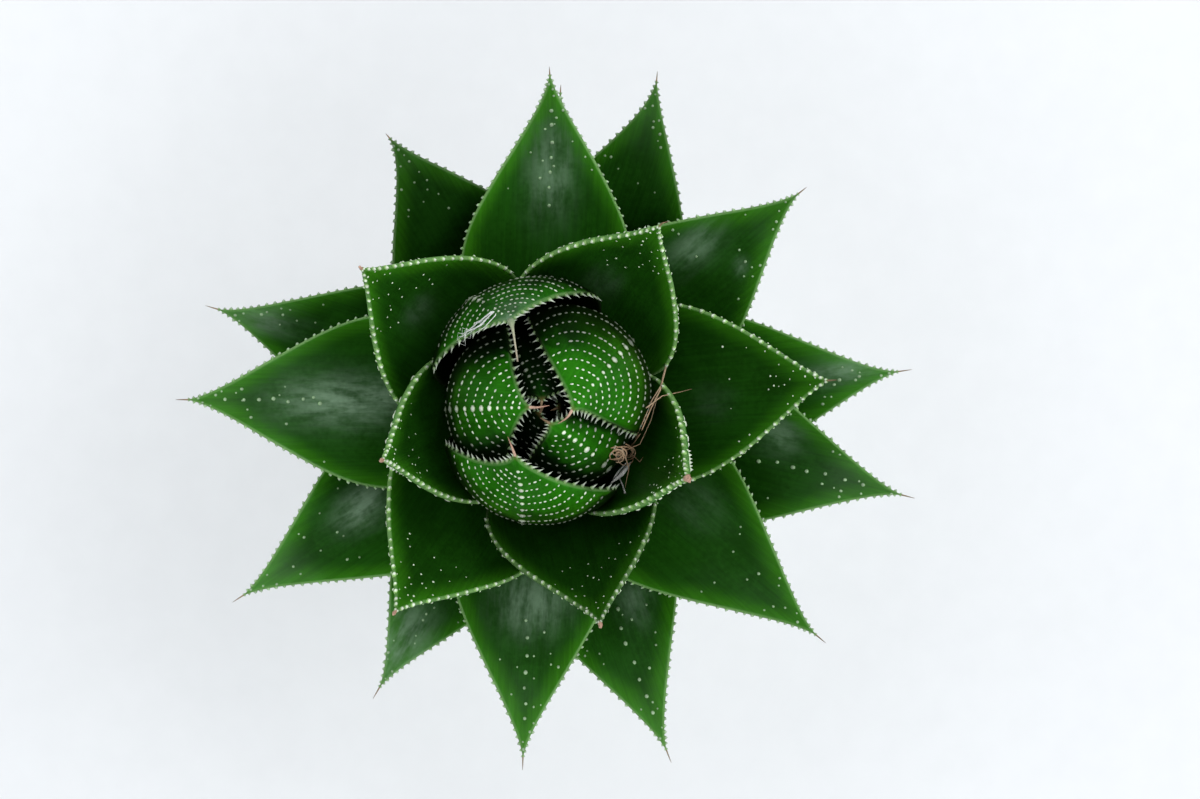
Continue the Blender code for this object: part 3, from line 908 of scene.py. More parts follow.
# Each patch adds painted sheen to the corners on the same face of its leaf.
for age, pixel, across, along, strength in PAINTED_SHEEN_PATCHES:
    bm = bodies[age]
    lie = bm.verts.layers.float_vector["lie"]
    own = bm.verts.layers.float_vector["own"]
    painted_sheen_layer = bm.verts.layers.float["painted_sheen"]
    hit = below(pixel)[0]
    nearest = min(bm.verts, key=lambda vert: (vert.co - hit).length)
    middle = nearest[lie]
    for vert in bm.verts:
        if (vert[own].x < 0.5) == (nearest[own].x < 0.5):
            off = (vert[lie].x - middle.x) / across, (vert[lie].y - middle.y) / along
            vert[painted_sheen_layer] += strength * math.exp(-(off[0] ** 2) - off[1] ** 2)
print(len(PAINTED_SHEEN_PATCHES), "patches of bloom")

# %% [markdown]
# ## Knobs: teeth, tubercles and dots
# A tooth is a pearl that is drawn out to a point, and a tubercle is a low dome. Both are the same
# wrapped grid with another profile, of pairs of radius and height. Thousands of them are needed,
# so each has only a few dozen faces.

# %% Make one knob
TOOTH = ((0, -0.25), (0.4, -0.2), (0.42, 0.1), (0.2, 0.34), (0.09, 0.7), (0, 1.0))
BEAD = ((0, -0.5), (0.46, -0.4), (0.54, 0.05), (0.42, 0.46), (0.18, 0.72), (0, 0.95))
DOME = ((0, -0.6), (1.0, -0.4), (0.94, 0.3), (0.55, 0.85), (0, 1.0))
SPINE = ((0, -0.4), (1.0, -0.25), (0.85, 0.25), (0.4, 0.6), (0, 1.6))
# Teeth keep at least this much light in their painted shade.
TOOTH_LEAST_LIGHT = 0.35


def add_knob(bm, leaf, place, profile, columns, kind, chance):
    """Adds a knob whose foot is at the place's origin and which stands along its Z."""
    rows = len(profile) - 1
    own = (kind, leaf.age / OLDEST, chance.random() * 10)
    # The knob's colour takes painted shade from how much sky its foot sees.
    openness = see_sky(leaf, place.translation, place.to_3x3().col[2].normalized())
    if kind == 0:
        openness = TOOTH_LEAST_LIGHT + (1 - TOOTH_LEAST_LIGHT) * openness
    ring = [(math.cos(math.tau * n / columns), math.sin(math.tau * n / columns)) for n in range(columns)]

    def spot(column, row):
        radius, height = profile[row]
        x, y = ring[column]
        return place @ Vector((radius * x, radius * y, height)), (x, y, max(0.0, height)), own

    wrap_grid(bm, columns, rows, spot, openness)


def facing(foot, up, sideways, width, length, height):
    """A place with Z along up and X as near sideways as can be, scaled on its three axes."""
    z = up.normalized()
    y = z.cross(sideways).normalized()
    x = y.cross(z)
    turn = Matrix((x, y, z)).transposed().to_4x4()
    return Matrix.Translation(foot) @ turn @ Matrix.Diagonal((width, length, height, 1.0))


# %% [markdown]
# ## The teeth along the margins
# The teeth stand close near the tip and a little further apart down the leaf, and they lean
# towards the tip. The bud's are the longest. The cup's margins are thick, and carry a second row
# of small pearls on their outer edge.

# %% Make a leaf's teeth
TOOTH_LEAN = math.radians(22)
LEAN_VARIES = 0.16
TOOTH_DEPTHS = {BUD: 0.5, CUP: 0.22, SPREAD: 0.5}
TOOTH_SHAPES = {BUD: TOOTH, CUP: BEAD, SPREAD: BEAD}
TOOTH_LENGTHS = {BUD: 1.4 * MM, CUP: 0.8 * MM, SPREAD: 0.74 * MM}
TOOTH_FEET = {BUD: 0.9 * MM, CUP: 0.82 * MM, SPREAD: 0.64 * MM}
SMALLEST = {BUD: 0.85, CUP: 0.62, SPREAD: 0.8}
LARGEST = 1.14
LEAST_GROWN = 0.45
TOOTH_STEPS = {BUD: (1.0, 1.95), CUP: (1.2, 1.85), SPREAD: (1.1, 1.6)}
TOOTH_KINDS = {BUD: 0, CUP: 1.2, SPREAD: 1.75}
TOOTHED = {BUD: 0.55, CUP: 0.66, SPREAD: 0.72}
FIRST_TOOTH = 1.3 * MM
TOOTH_SUNK = 0.1 * MM
CUP_LIFT = 0.7
SECOND_ROW_FROM = 3 * MM
SECOND_ROW_CHANCE = 0.55
SECOND_ROW_DEPTH = 0.86
SECOND_ROW_TURN = 0.9
SECOND_ROW_SIZES = (0.16, 0.27)
PROBE = 0.004


def make_teeth(leaf):
    bm = new_skin()
    chance = random.Random(100 + leaf.age)
    for side in (-1, 1):
        from_tip = FIRST_TOOTH
        while from_tip < TOOTHED[leaf.habit] * leaf.length:
            share = 1 - from_tip / leaf.length
            edge = leaf.point(share, side, TOOTH_DEPTHS[leaf.habit])
            outward = (edge - leaf.point(share, side * 0.8, 0.5)).normalized()
            tipward = (leaf.point(share + PROBE, side, 0.5) - edge).normalized()
            lean = TOOTH_LEAN + chance.uniform(-LEAN_VARIES, LEAN_VARIES)
            upward = leaf.point(share, side, 0.0) - leaf.point(share, side, 1.0)
            direction = outward * math.cos(lean) + tipward * math.sin(lean)
            direction += upward.normalized() * chance.uniform(-0.1, 0.2)
            grown = smooth_step((from_tip / MM + 1) / 5) * chance.uniform(SMALLEST[leaf.habit], LARGEST)
            share_of_full = LEAST_GROWN + (1 - LEAST_GROWN) * grown
            length = TOOTH_LENGTHS[leaf.habit] * share_of_full
            foot = TOOTH_FEET[leaf.habit] * share_of_full
            if leaf.habit is CUP:
                direction += upward.normalized() * CUP_LIFT
            sunk = edge - outward * TOOTH_SUNK
            place = facing(sunk, direction, tipward, foot * 1.25, foot, length)
            add_knob(bm, leaf, place, TOOTH_SHAPES[leaf.habit], 6, TOOTH_KINDS[leaf.habit], chance)
            near, far = TOOTH_STEPS[leaf.habit]
            step = (near + (far - near) * smooth_step(from_tip / (10 * MM))) * chance.uniform(0.85, 1.15)
            paired = leaf.habit is CUP and from_tip > SECOND_ROW_FROM
            if paired and chance.random() < SECOND_ROW_CHANCE:
                share -= step * MM / leaf.length / 2
                edge = leaf.point(share, side, SECOND_ROW_DEPTH)
                lower = edge - leaf.point(share, side, 0.0)
                turned_down = outward + lower.normalized() * SECOND_ROW_TURN
                size = chance.uniform(*SECOND_ROW_SIZES) * MM * grown
                place = facing(edge, turned_down, tipward, size * 1.2, size, size * 0.9)
                add_knob(bm, leaf, place, DOME, 7, 0, chance)
            from_tip += step * MM
    return bm


# %% [markdown]
# ## The tubercles on the backs
# They stand in arcs round the tip, like ripples. An arc is a circle about the tip on the unrolled
# leaf: a radius and an angle give the distance from the tip and the distance across. On the keel
# they are larger and end in a small spine. Here and there one is missing, as on a real leaf.

# %% Make a leaf's tubercles
ARC_REACH = 1.6
ARC_SHIFT = 0.32
STEP_VARIES = 0.1
ACROSS_PROBE = 0.02
TIP_BARE = 0.8 * MM
MARGIN_BARE = 0.75 * MM
TUBERCLE_SIZES = (0.72, 1.2)
TUBERCLE_STRETCH = (1.15, 1.75)
SPINE_HEIGHT = 1.5
Rows = namedtuple("Rows", "first step widen gap gap_widen radius grow height until")
TUBERCLES = {
    BUD: Rows(1.5, 1.3, 0.085, 0.84, 0.006, 0.185, 0.0035, 0.16, 0.62),
    CUP: Rows(2.6, 1.9, 0.03, 1.9, 0.02, 0.34, 0.006, 0.28, 0.6),
    SPREAD: Rows(3.2, 2.6, 0.04, 2.5, 0.02, 0.36, 0.005, 0.30, 0.55),
}
KEEL_KNOBS = {BUD: (1.55, 0.075), CUP: (1.5, 0.0), SPREAD: (1.35, 0.0)}
LARGER = {3: 1.2, 6: 1.0, 4: 1.12}
MISSING = 0.1


def skin_frame(leaf, share, across, depth):
    """The foot and the ways out, across and to the tip: depth 0 on the upper face, 1 on the back."""
    foot = leaf.point(share, across, depth)
    tipward = leaf.point(share + PROBE, across, depth) - foot
    sideways = leaf.point(share, across + ACROSS_PROBE, depth) - foot
    outward = sideways.cross(tipward).normalized()
    if outward.dot(foot - leaf.point(share, across, 1 - depth)) < 0:
        outward.negate()
    return foot, outward, sideways.normalized(), tipward.normalized()


def make_tubercles(leaf):
    bm = new_skin()
    rows = TUBERCLES[leaf.habit]
    keel_size, keel_grows = KEEL_KNOBS[leaf.habit]
    chance = random.Random(200 + leaf.age)
    radius = rows.first
    while radius * MM < rows.until * leaf.length:
        gap = (rows.gap + rows.gap_widen * radius) * LARGER.get(leaf.age, 1.0)
        half_count = int(ARC_REACH * radius / gap)
        shift = chance.uniform(-ARC_SHIFT, ARC_SHIFT)
        for number in range(-half_count, half_count + 1):
            step = number
            if number:
                step += shift + chance.uniform(-STEP_VARIES, STEP_VARIES)
            angle = leaf.keel_turn + step * gap / radius
            from_tip = radius * math.cos(angle) * MM + chance.uniform(-0.05, 0.05) * MM
            lateral = radius * math.sin(angle) * MM
            if from_tip < TIP_BARE or chance.random() < MISSING:
                continue
            share = 1 - from_tip / leaf.length
            side = leaf.station(share).side
            if abs(lateral) > side - MARGIN_BARE:
                continue
            foot, outward, sideways, tipward = skin_frame(leaf, share, lateral / side, 1)
            round_tip = sideways * math.cos(angle) + tipward * math.sin(angle)
            on_keel = number == 0
            size = (rows.radius + rows.grow * radius) * MM * chance.uniform(*TUBERCLE_SIZES)
            size *= LARGER.get(leaf.age, 1.0) ** 0.7
            size *= keel_size + keel_grows * radius if on_keel else 1.0
            height = rows.height * MM * (SPINE_HEIGHT if on_keel else 1.0)
            stretch = 1.0 if on_keel else chance.uniform(*TUBERCLE_STRETCH)
            place = facing(foot, outward, round_tip, size * stretch, size * 0.95, height)
            profile = SPINE if on_keel else DOME
            add_knob(bm, leaf, place, profile, 7, 1, chance)
        radius += rows.step + rows.widen * radius
    return bm


# %% [markdown]
# ## The dots on the upper faces
# The upper faces carry a few small white dots, mostly in the outer third, and some leaves have a
# row of larger ones down the middle. They are scattered with a fixed seed, so each run is alike.

# %% Make a leaf's dots
DOTS = {BUD: 0, CUP: 24, SPREAD: 15}
DOT_SIZES = {CUP: (0.12, 0.24), SPREAD: (0.18, 0.34)}
DOTS_FROM = 2.5
DOTS_OVER = 0.42
DOTS_ACROSS = 0.86
DOTS_APART = 1.2 * MM
MIDLINE_LEAVES = (15, 17, 19, 21, 24, 26)
MIDLINE_FROM = 9 * MM
MIDLINE_UNTIL = 0.5
MIDLINE_SIZES = (0.32, 0.46)
MIDLINE_STEPS = (3.0, 4.4)


def add_dot(bm, leaf, share, across, size, chance):
    foot, outward, sideways, tipward = skin_frame(leaf, share, across, 0)
    place = facing(foot, outward, sideways, size, size * chance.uniform(1.0, 1.3), size * 0.45)
    add_knob(bm, leaf, place, DOME, 7, 1 if leaf.habit is CUP else 2, chance)


def make_dots(leaf):
    bm = new_skin()
    chance = random.Random(300 + leaf.age)
    placed = []
    while len(placed) < DOTS[leaf.habit]:
        from_tip = (DOTS_FROM + DOTS_OVER * leaf.length / MM * chance.random() ** 1.15) * MM
        across = chance.uniform(-DOTS_ACROSS, DOTS_ACROSS)
        share = 1 - from_tip / leaf.length
        spot = Vector((across * leaf.station(share).side, from_tip))
        if all((spot - other).length > DOTS_APART for other in placed):
            placed.append(spot)
            small, large = DOT_SIZES[leaf.habit]
            add_dot(bm, leaf, share, across, chance.uniform(small, large) * MM, chance)
    if leaf.age in MIDLINE_LEAVES:
        from_tip = MIDLINE_FROM
        while from_tip < MIDLINE_UNTIL * leaf.length:
            share = 1 - from_tip / leaf.length
            size = chance.uniform(*MIDLINE_SIZES) * MM
            add_dot(bm, leaf, share, chance.uniform(-0.05, 0.05), size, chance)
            from_tip += chance.uniform(*MIDLINE_STEPS) * MM
    return bm


# %% [markdown]
# ## The tips
# The spreading leaves end in a short brown awn that carries the leaf's line on. In the bud the
# awns are longer and curl over the middle, and in the cup several have dried to a shrivelled knob.
# The tables give each curl in millimetres, as its steps to the right, up the picture and up in
# the air, and each knob's radius.

# %% Make a leaf's tip
AWN_RADII = {BUD: 0.28 * MM, CUP: 0.2 * MM, SPREAD: 0.16 * MM}
AWN_LENGTHS = {10: 1.2, 13: 1.4, 15: 0.9, 18: 1.2, 20: 0.3, 23: 1.0, 28: 0.6}
AWN_LENGTH = 1.8
AWN_FOOT = 1.2 * MM
SOFT_TIPPED = 7
SOFT_POINT = 0.16 * MM
SOFT_FOOT = 0.62 * MM
CURLS = {
    4: (2.8, 0.4, 1.0),
    5: (-2.2, -1.7, 0.8),
    6: (-1.1, 2.8, 0.9),
    7: (1.1, -6.9, -0.8),
    10: (1.6, 0.5, 0.2),
}
SHRIVELLED = {8: 0.72, 9: 0.4, 11: 0.42, 12: 0.3, 14: 0.34}
CRUMPLE = 0.9
CRUMPLE_LONG = 0.65 * MM
KNOB_ROWS = 8
KNOB_SIDES = 12


def add_tube(bm, path, radius_at, columns=8, own=(0, 0, 0)):
    """A tube along a path of points, closed at both ends; radius_at takes the share of the way."""
    rows = len(path) + 1
    side = Vector((0.31, 0.52, 0.8))

    def spot(column, row):
        number = min(max(row - 1, 0), len(path) - 1)
        share = number / (len(path) - 1)
        if row in (0, rows):
            return path[number], (0, share * 4, share), own
        way = (path[min(number + 1, len(path) - 1)] - path[max(number - 1, 0)]).normalized()
        x = way.cross(side).normalized()
        y = way.cross(x)
        angle = math.tau * column / columns
        arm = (x * math.cos(angle) + y * math.sin(angle)) * radius_at(share)
        return path[number] + arm, (math.cos(angle), share * 4, share), own

    wrap_grid(bm, columns, rows, spot)


def make_tip(leaf):
    bm = new_skin()
    tip = leaf.point(1.0, 0.0, 0.5)
    back_off = leaf.point(1 - AWN_FOOT / leaf.length, 0.0, 0.5)
    way = (tip - back_off).normalized()
    if leaf.age in SHRIVELLED:
        size = SHRIVELLED[leaf.age] * MM
        middle = back_off.lerp(tip, 0.4)

        def spot(column, row):
            tilt = math.pi * row / KNOB_ROWS
            turn = math.tau * column / KNOB_SIDES
            arm = Vector((math.sin(tilt) * math.cos(turn), math.sin(tilt) * math.sin(turn), math.cos(tilt)))
            crumple = 1 + CRUMPLE * noise.noise(arm * 2.1 + Vector((leaf.age, 0, 0)))
            place = middle + arm * size * crumple + way * CRUMPLE_LONG * arm.dot(way)
            return place, (turn * 2, tilt * 2, 0.5 + 0.4 * arm.x), (0, 0, 0)

        wrap_grid(bm, KNOB_SIDES, KNOB_ROWS, spot)
        return bm
    if leaf.age in CURLS:
        curl = Vector(CURLS[leaf.age]) * MM
        start = back_off
        end = tip + curl
        middle = tip + way * curl.length * 0.35
        path = geometry.interpolate_bezier(start, tip + (middle - tip) * 0.5, middle, end, 14)
    else:
        length = AWN_LENGTHS.get(leaf.age, AWN_LENGTH) * MM
        path = [back_off.lerp(tip + way * length, n / 7) for n in range(8)]
    thick = AWN_RADII[leaf.habit]
    if leaf.age == SOFT_TIPPED:
        add_tube(bm, path, lambda share: SOFT_POINT + SOFT_FOOT * (1 - share) ** 2.6, columns=12)
    else:
        add_tube(bm, path, lambda share: thick * (1.04 - share) ** 0.6)
    return bm


# %% [markdown]
# ## Growing the rosette
# Each leaf's body, teeth, tubercles, dots and tip become one piece, which stands for the solid leaf
# of the same name.

# %% Grow all the leaves
PINK_TIPS = (4, 5, 6, 8, 9, 11, 12, 14)


def tip_tissue(leaf):
    if leaf.age == SOFT_TIPPED:
        return awn_pale
    return awn_pink if leaf.age in PINK_TIPS else awn_tan


leaf_pieces = []
for leaf, body in zip(leaves, bodies):
    layers = (
        (body, leaf_skin),
        (make_teeth(leaf), pearl),
        (make_tubercles(leaf), pearl),
        (make_dots(leaf), pearl),
        (make_tip(leaf), tip_tissue(leaf)),
    )
    piece = finish_piece(f"grown_{leaf.name}", layers, (leaf.name,))
    leaf_pieces.append(piece)
print(sum(len(piece.data.polygons) for piece in leaf_pieces), "faces on", len(leaf_pieces), "leaves")

# %% [markdown]
# ## What has fallen among the leaves
# A dry strand lies over the right of the cup and ends in a small tangle, with a silvery shred
# below it, and a wisp of white fluff has caught on the bud. They are placed by where they show
# from above. A ray dropped from the camera finds the leaf under each point, and then the strand is
# pulled taut over the high places, so it rests on them as a real one does.

# %% Drape a path over the leaves
def drape(pixels, steps, lift):
    """A path over the rosette through some pixels, pulled taut over its high places."""
    wanted = []
    for a, b in zip(pixels, pixels[1:]):
        wanted += [Vector(a).lerp(Vector(b), n / steps) for n in range(steps)]
    wanted.append(Vector(pixels[-1]))
    hits = [below(pixel) for pixel in wanted]
    known = [(hit - EYE).length for hit, way in hits if hit]
    surface = [(hit - EYE).length - lift if hit else max(known) for hit, way in hits]
    shown = list(surface)
    for turn in range(300):
        for n in range(1, len(shown) - 1):
            shown[n] = min(surface[n], (shown[n - 1] + shown[n + 1]) / 2)
    return [EYE + way * reach for (hit, way), reach in zip(hits, shown)]


# %% Lay the litter
chance = random.Random(7)
strand = new_skin()
STRANDS = (
    (((666, 366), (660, 390), (650, 410), (640, 434), (625, 455)), 0.22),
    (((646, 408), (662, 396), (680, 392), (692, 389)), 0.13),
    (((662, 384), (652, 400), (642, 424), (632, 446)), 0.12),
    (((657, 398), (651, 420), (640, 444), (622, 452)), 0.12),
    (((626, 455), (618, 460), (609, 459)), 0.14),
    (((629, 452), (640, 462), (643, 457)), 0.11),
    (((622, 448), (629, 468), (625, 488)), 0.14),
)
for pixels, radius in STRANDS:
    path = drape(pixels, 5, radius * MM)
    add_tube(strand, path, lambda share: radius * MM * (1 - 0.5 * share), columns=6)
TANGLE = Vector((623, 456))
TANGLE_CURLS = 20
for number in range(TANGLE_CURLS):
    centre = TANGLE + Vector((chance.uniform(-7, 8), chance.uniform(-5, 4)))
    first = chance.uniform(0, math.tau)
    curl = chance.choice((-1, 1)) * chance.uniform(0.3, 0.55)
    turns = [first + curl * n for n in range(9)]
    arms = [Vector((math.cos(turn), 0.75 * math.sin(turn))) * (1 + 0.14 * n) for n, turn in enumerate(turns)]
    reach = chance.uniform(2.2, 6.0)
    path = drape([centre + arm * reach for arm in arms], 2, chance.uniform(0.1, 0.8) * MM)
    add_tube(strand, path, lambda share: 0.11 * MM, columns=5)
strand_piece = finish_piece("dry_strand", ((strand, straw),))

shred = new_skin()
SHREDS = (
    (((631, 462), (622, 474), (610, 484)), 6, 1.6, 0.45),
    (((627, 462), (618, 472), (613, 479)), 5, 1.9, 0.22),
)
SHRED_THREAD = ((619, 477), (623, 486), (625, 493))
for pixels, steps, lift, radius in SHREDS:
    path = drape(pixels, steps, lift * MM)
    add_tube(
        shred, path, lambda share: radius * MM * math.sin(math.pi * (0.1 + 0.85 * share)), columns=6
    )
path = drape(SHRED_THREAD, 4, 0.3 * MM)
add_tube(shred, path, lambda share: 0.16 * MM, columns=6)
finish_piece("silvery_shred", ((shred, silvery),))

fluff = new_skin()
THICK_FLUFF = (Vector((494, 313)), Vector((466, 335)), 6)
THIN_FLUFF = (Vector((490, 315)), Vector((464, 336)), 16)
FLUFF_WAY = Vector((-28, 20)).normalized()
upper_end, lower_end, count = THICK_FLUFF
for number in range(count):
    start = upper_end + Vector((chance.uniform(-3, 3), chance.uniform(-2, 2)))
    end = lower_end + Vector((chance.uniform(-3, 4), chance.uniform(-3, 3)))
    bow = Vector((chance.uniform(-3, 3), chance.uniform(-3, 3)))
    path = drape((start, (start + end) / 2 + bow, end), 6, chance.uniform(0.3, 0.7) * MM)
    thick = chance.uniform(0.07, 0.12) * MM
    add_tube(fluff, path, lambda share: thick * (1.1 - share) ** 0.5, columns=5)
upper_end, lower_end, count = THIN_FLUFF
for number in range(count):
    start = upper_end.lerp(lower_end, chance.random() ** 0.7)
    heading = FLUFF_WAY * chance.uniform(5, 12)
    bow = Vector((heading.y, -heading.x)) * chance.uniform(-0.8, 0.8)
    path = drape((start, start + heading / 2 + bow, start + heading), 4, 0.5 * MM)
    thick = chance.uniform(0.035, 0.055) * MM
    add_tube(fluff, path, lambda share: thick * (1 - 0.6 * share), columns=4)
finish_piece("fluff", ((fluff, fluff_white),))
print("litter:", len(strand_piece.data.polygons), "faces of strand")

# %% [markdown]
# ## The stem
# The stem is short and stout, brown and corky where old leaves have dropped off, and green between
# the leaf bases. It is turned from its profile and moved with the plant's lean.

# %% Make the stem
SOIL_TOP = 69 * MM
STEM_COLLAR_RADIUS = 8 * MM
STEM_DEPTH = 26 * MM
STEM_SIDES = 64
SCAR_STEP = 1.25 * MM
SCAR_DEPTH = 0.22 * MM
CORK = (0.11, 0.065, 0.035)
CORK_DARK = (0.045, 0.026, 0.014)
YOUNG_STEM = (0.14, 0.20, 0.05)
YOUNG_STEM_DARK = (0.07, 0.11, 0.025)


def turned(profile, sides):
    """A closed body turned about Z from (radius, height) points that start and end on the axis."""
    bm = bmesh.new()
    points = [bm.verts.new((radius, 0, height)) for radius, height in profile]
    edges = [bm.edges.new(pair) for pair in zip(points, points[1:])]
    bmesh.ops.spin(
        bm,
        geom=points + edges,
        axis=(0, 0, 1),
        cent=(0, 0, 0),
        angle=math.tau,
        steps=sides,
        use_merge=True,
    )
    close_up(bm)
    return bm


foot = SOIL_TOP - STEM_DEPTH
profile = [(0, foot), (STEM_COLLAR_RADIUS * 0.45, foot), (STEM_COLLAR_RADIUS, SOIL_TOP - 9 * MM)]
profile += [(STEM_COLLAR_RADIUS, SOIL_TOP + 0.5 * MM)]
height = SOIL_TOP + 2 * MM
while height < STEM_TOP - 0.5 * MM:
    profile.append((stem_radius(height), height))
    height += SCAR_STEP / 4
profile += [(STEM_TIP_RADIUS / 2, STEM_TOP), (0, STEM_TOP)]
bm = turned(profile, STEM_SIDES)
for vert in bm.verts:
    if vert.co.z > SOIL_TOP + MM:
        turn = math.atan2(vert.co.y, vert.co.x)
        ring = math.sin(math.tau * (vert.co.z / SCAR_STEP + turn / math.tau))
        out = Vector((vert.co.x, vert.co.y, 0)).normalized()
        vert.co += out * (ring * 0.5 - 0.5) * SCAR_DEPTH
        vert.co += out * 0.15 * MM * noise.noise(vert.co / (2.5 * MM))
    vert.co = uneven(vert.co)

stem_bark, tree, shader = start_material("stem_bark", 0.7, 0.3)
place = object_place(tree)
patches = use_group(tree, mottle, {"Vector": place, "Scale": 260.0, "Finer": 5.0})
up_it = split(tree, place)["Z"]
greener = ramp(tree, up_it, SOIL_TOP + 3 * MM, SOIL_TOP + 15 * MM)
shade = blend_colours(tree, greener, CORK, YOUNG_STEM)
darker = blend_colours(tree, greener, CORK_DARK, YOUNG_STEM_DARK)
tree.links.new(blend_colours(tree, patches["Mask"], darker, shade), shader["Base Color"])
tree.links.new(scaled(tree, patches["Mask"], 0.2, 0.58), shader["Roughness"])
add_bump(tree, shader, patches["Height"], 0.6, 0.3 * MM)
stem_piece = finish_piece("corky_stem", ((bm, stem_bark),), ("stem",))
print("stem:", len(stem_piece.data.polygons), "faces")

# %% [markdown]
# ## The soil
# The potting mix is dark and loose: coir, bits of bark and some pale grit. Its surface is turned,
# like the solid, and then roughened in three sizes. Several hundred loose bits lie on it, half
# sunk, each an icosphere squashed its own way.

# %% Make the soil
POT_HEIGHT = 76 * MM
RIM_RADIUS = 43 * MM
RIM_BAND = 15 * MM
RIM_PROUD = 1.6 * MM
FOOT_RADIUS = 30 * MM
WALL = 3.6 * MM
FLOOR = 4.5 * MM
BAND_FOOT = POT_HEIGHT - RIM_BAND
SOIL_GAP = 0.4 * MM
GAP = 0.3 * MM
SOIL_SIDES = 144
SOIL_RINGS = 34
LUMPS = ((7 * MM, 1.1 * MM), (2.4 * MM, 0.6 * MM), (1.1 * MM, 0.3 * MM))
BITS = 900
GRIT_SHARE = 0.14
GRIT_SIZES = (0.5, 1.0)
BARK_SIZES = (0.5, 1.7)
SOIL_DARK = (0.018, 0.011, 0.007)
SOIL_LIGHT = (0.075, 0.045, 0.026)
BARK_DARK = (0.03, 0.017, 0.009)
BARK_LIGHT = (0.16, 0.085, 0.04)
GRIT_PALE = (0.52, 0.49, 0.43)


def pot_radius(height):
    return FOOT_RADIUS + (RIM_RADIUS - RIM_PROUD - FOOT_RADIUS) * height / BAND_FOOT


def soil_edge(height):
    share = (height - FLOOR) / (BAND_FOOT - FLOOR)
    low = pot_radius(FLOOR) - WALL
    high = RIM_RADIUS - WALL - RIM_PROUD
    return min(low + (high - low) * share, high) - SOIL_GAP


def lumpy(point):
    return sum(high * noise.noise(point / size) for size, high in LUMPS)


bottom = FLOOR + GAP
hole = STEM_COLLAR_RADIUS + GAP
hole_floor = SOIL_TOP - STEM_DEPTH - GAP
outer = soil_edge(BAND_FOOT)
profile = [(0, bottom), (soil_edge(bottom), bottom), (outer, BAND_FOOT)]
profile += [(outer + (hole - outer) * n / SOIL_RINGS, SOIL_TOP) for n in range(SOIL_RINGS + 1)]
profile += [(hole, hole_floor), (0, hole_floor)]
bm = turned(profile, SOIL_SIDES)
for vert in bm.verts:
    radius = math.hypot(vert.co.x, vert.co.y)
    if vert.co.z > SOIL_TOP - MM and radius > hole + MM:
        vert.co.z += lumpy(vert.co)

chance = random.Random(11)
bits = new_skin()
own = bits.verts.layers.float_vector["own"]
for number in range(BITS):
    radius = math.sqrt(chance.uniform((hole + 1.5 * MM) ** 2, (outer - 1.2 * MM) ** 2))
    turn = chance.uniform(0, math.tau)
    spot = Vector((radius * math.cos(turn), radius * math.sin(turn), SOIL_TOP))
    spot.z += lumpy(spot)
    grit = chance.random() < GRIT_SHARE
    size = chance.uniform(*(GRIT_SIZES if grit else BARK_SIZES)) * MM
    shape = (1.0, 0.8, 0.8) if grit else (chance.uniform(0.9, 1.5), chance.uniform(0.4, 0.8), 0.35)
    tilt = Matrix.Rotation(chance.uniform(-0.5, 0.5), 4, "X")
    tilt = tilt @ Matrix.Rotation(chance.uniform(-0.5, 0.5), 4, "Y")
    turned_by = Matrix.Rotation(chance.uniform(0, math.tau), 4, "Z") @ tilt
    place = Matrix.Translation(spot) @ turned_by @ Matrix.Diagonal((*shape, 1.0))
    made = bmesh.ops.create_icosphere(bits, subdivisions=1, radius=size, matrix=place)["verts"]
    kind = chance.uniform(0.8, 1.0) if grit else chance.uniform(0.0, 0.6)
    for vert in made:
        vert.co += (vert.co - spot) * 0.25 * noise.noise(vert.co / (0.7 * MM))
        vert[own] = (kind, 0, 0)

soil_mix, tree, shader = start_material("soil_mix", 0.9, 0.25)
place = object_place(tree)
crumbs = use_group(tree, mottle, {"Vector": place, "Scale": 420.0, "Finer": 4.0})
shade = blend_colours(tree, crumbs["Mask"], SOIL_DARK, SOIL_LIGHT)
tree.links.new(shade, shader["Base Color"])
tree.links.new(scaled(tree, crumbs["Mask"], 0.15, 0.8), shader["Roughness"])
add_bump(tree, shader, crumbs["Height"], 0.9, 0.8 * MM)

soil_bits, tree, shader = start_material("soil_bits", 0.85, 0.3)
own = attribute(tree, "own")
kind = split(tree, own)["X"]
place = object_place(tree)
crumbs = use_group(tree, mottle, {"Vector": place, "Scale": 600.0, "Finer": 4.0})
bark = blend_colours(tree, ramp(tree, kind, 0.0, 0.6), BARK_DARK, BARK_LIGHT)
shade = blend_colours(tree, ramp(tree, kind, 0.7, 0.8), bark, GRIT_PALE)
tone = scaled(tree, crumbs["Mask"], 0.5, 0.6)
tree.links.new(times(tree, shade, tone), shader["Base Color"])
tree.links.new(scaled(tree, crumbs["Mask"], 0.2, 0.72), shader["Roughness"])
add_bump(tree, shader, crumbs["Height"], 0.7, 0.3 * MM)
soil_piece = finish_piece("potting_mix", ((bm, soil_mix), (bits, soil_bits)), ("soil",))
print("soil:", len(soil_piece.data.polygons), "faces with", BITS, "loose bits")

# %% [markdown]
# ## The pot
# A plain round pot with a rim band and four drain holes, of white clay under a satin glaze. It is
# turned from a profile with square corners, and then the corners are bevelled. A Boolean cuts the
# drain holes, as in the solid, and its result is kept as the mesh.

# %% Make the pot
POT_SIDES = 128
CORNER = 1.0 * MM
SHARP = 0.35
BAND_SLOPE = 1.8 * MM
DRAIN_HOLES = 4
DRAIN_RADIUS = 3.2 * MM
DRAIN_CIRCLE = 15 * MM

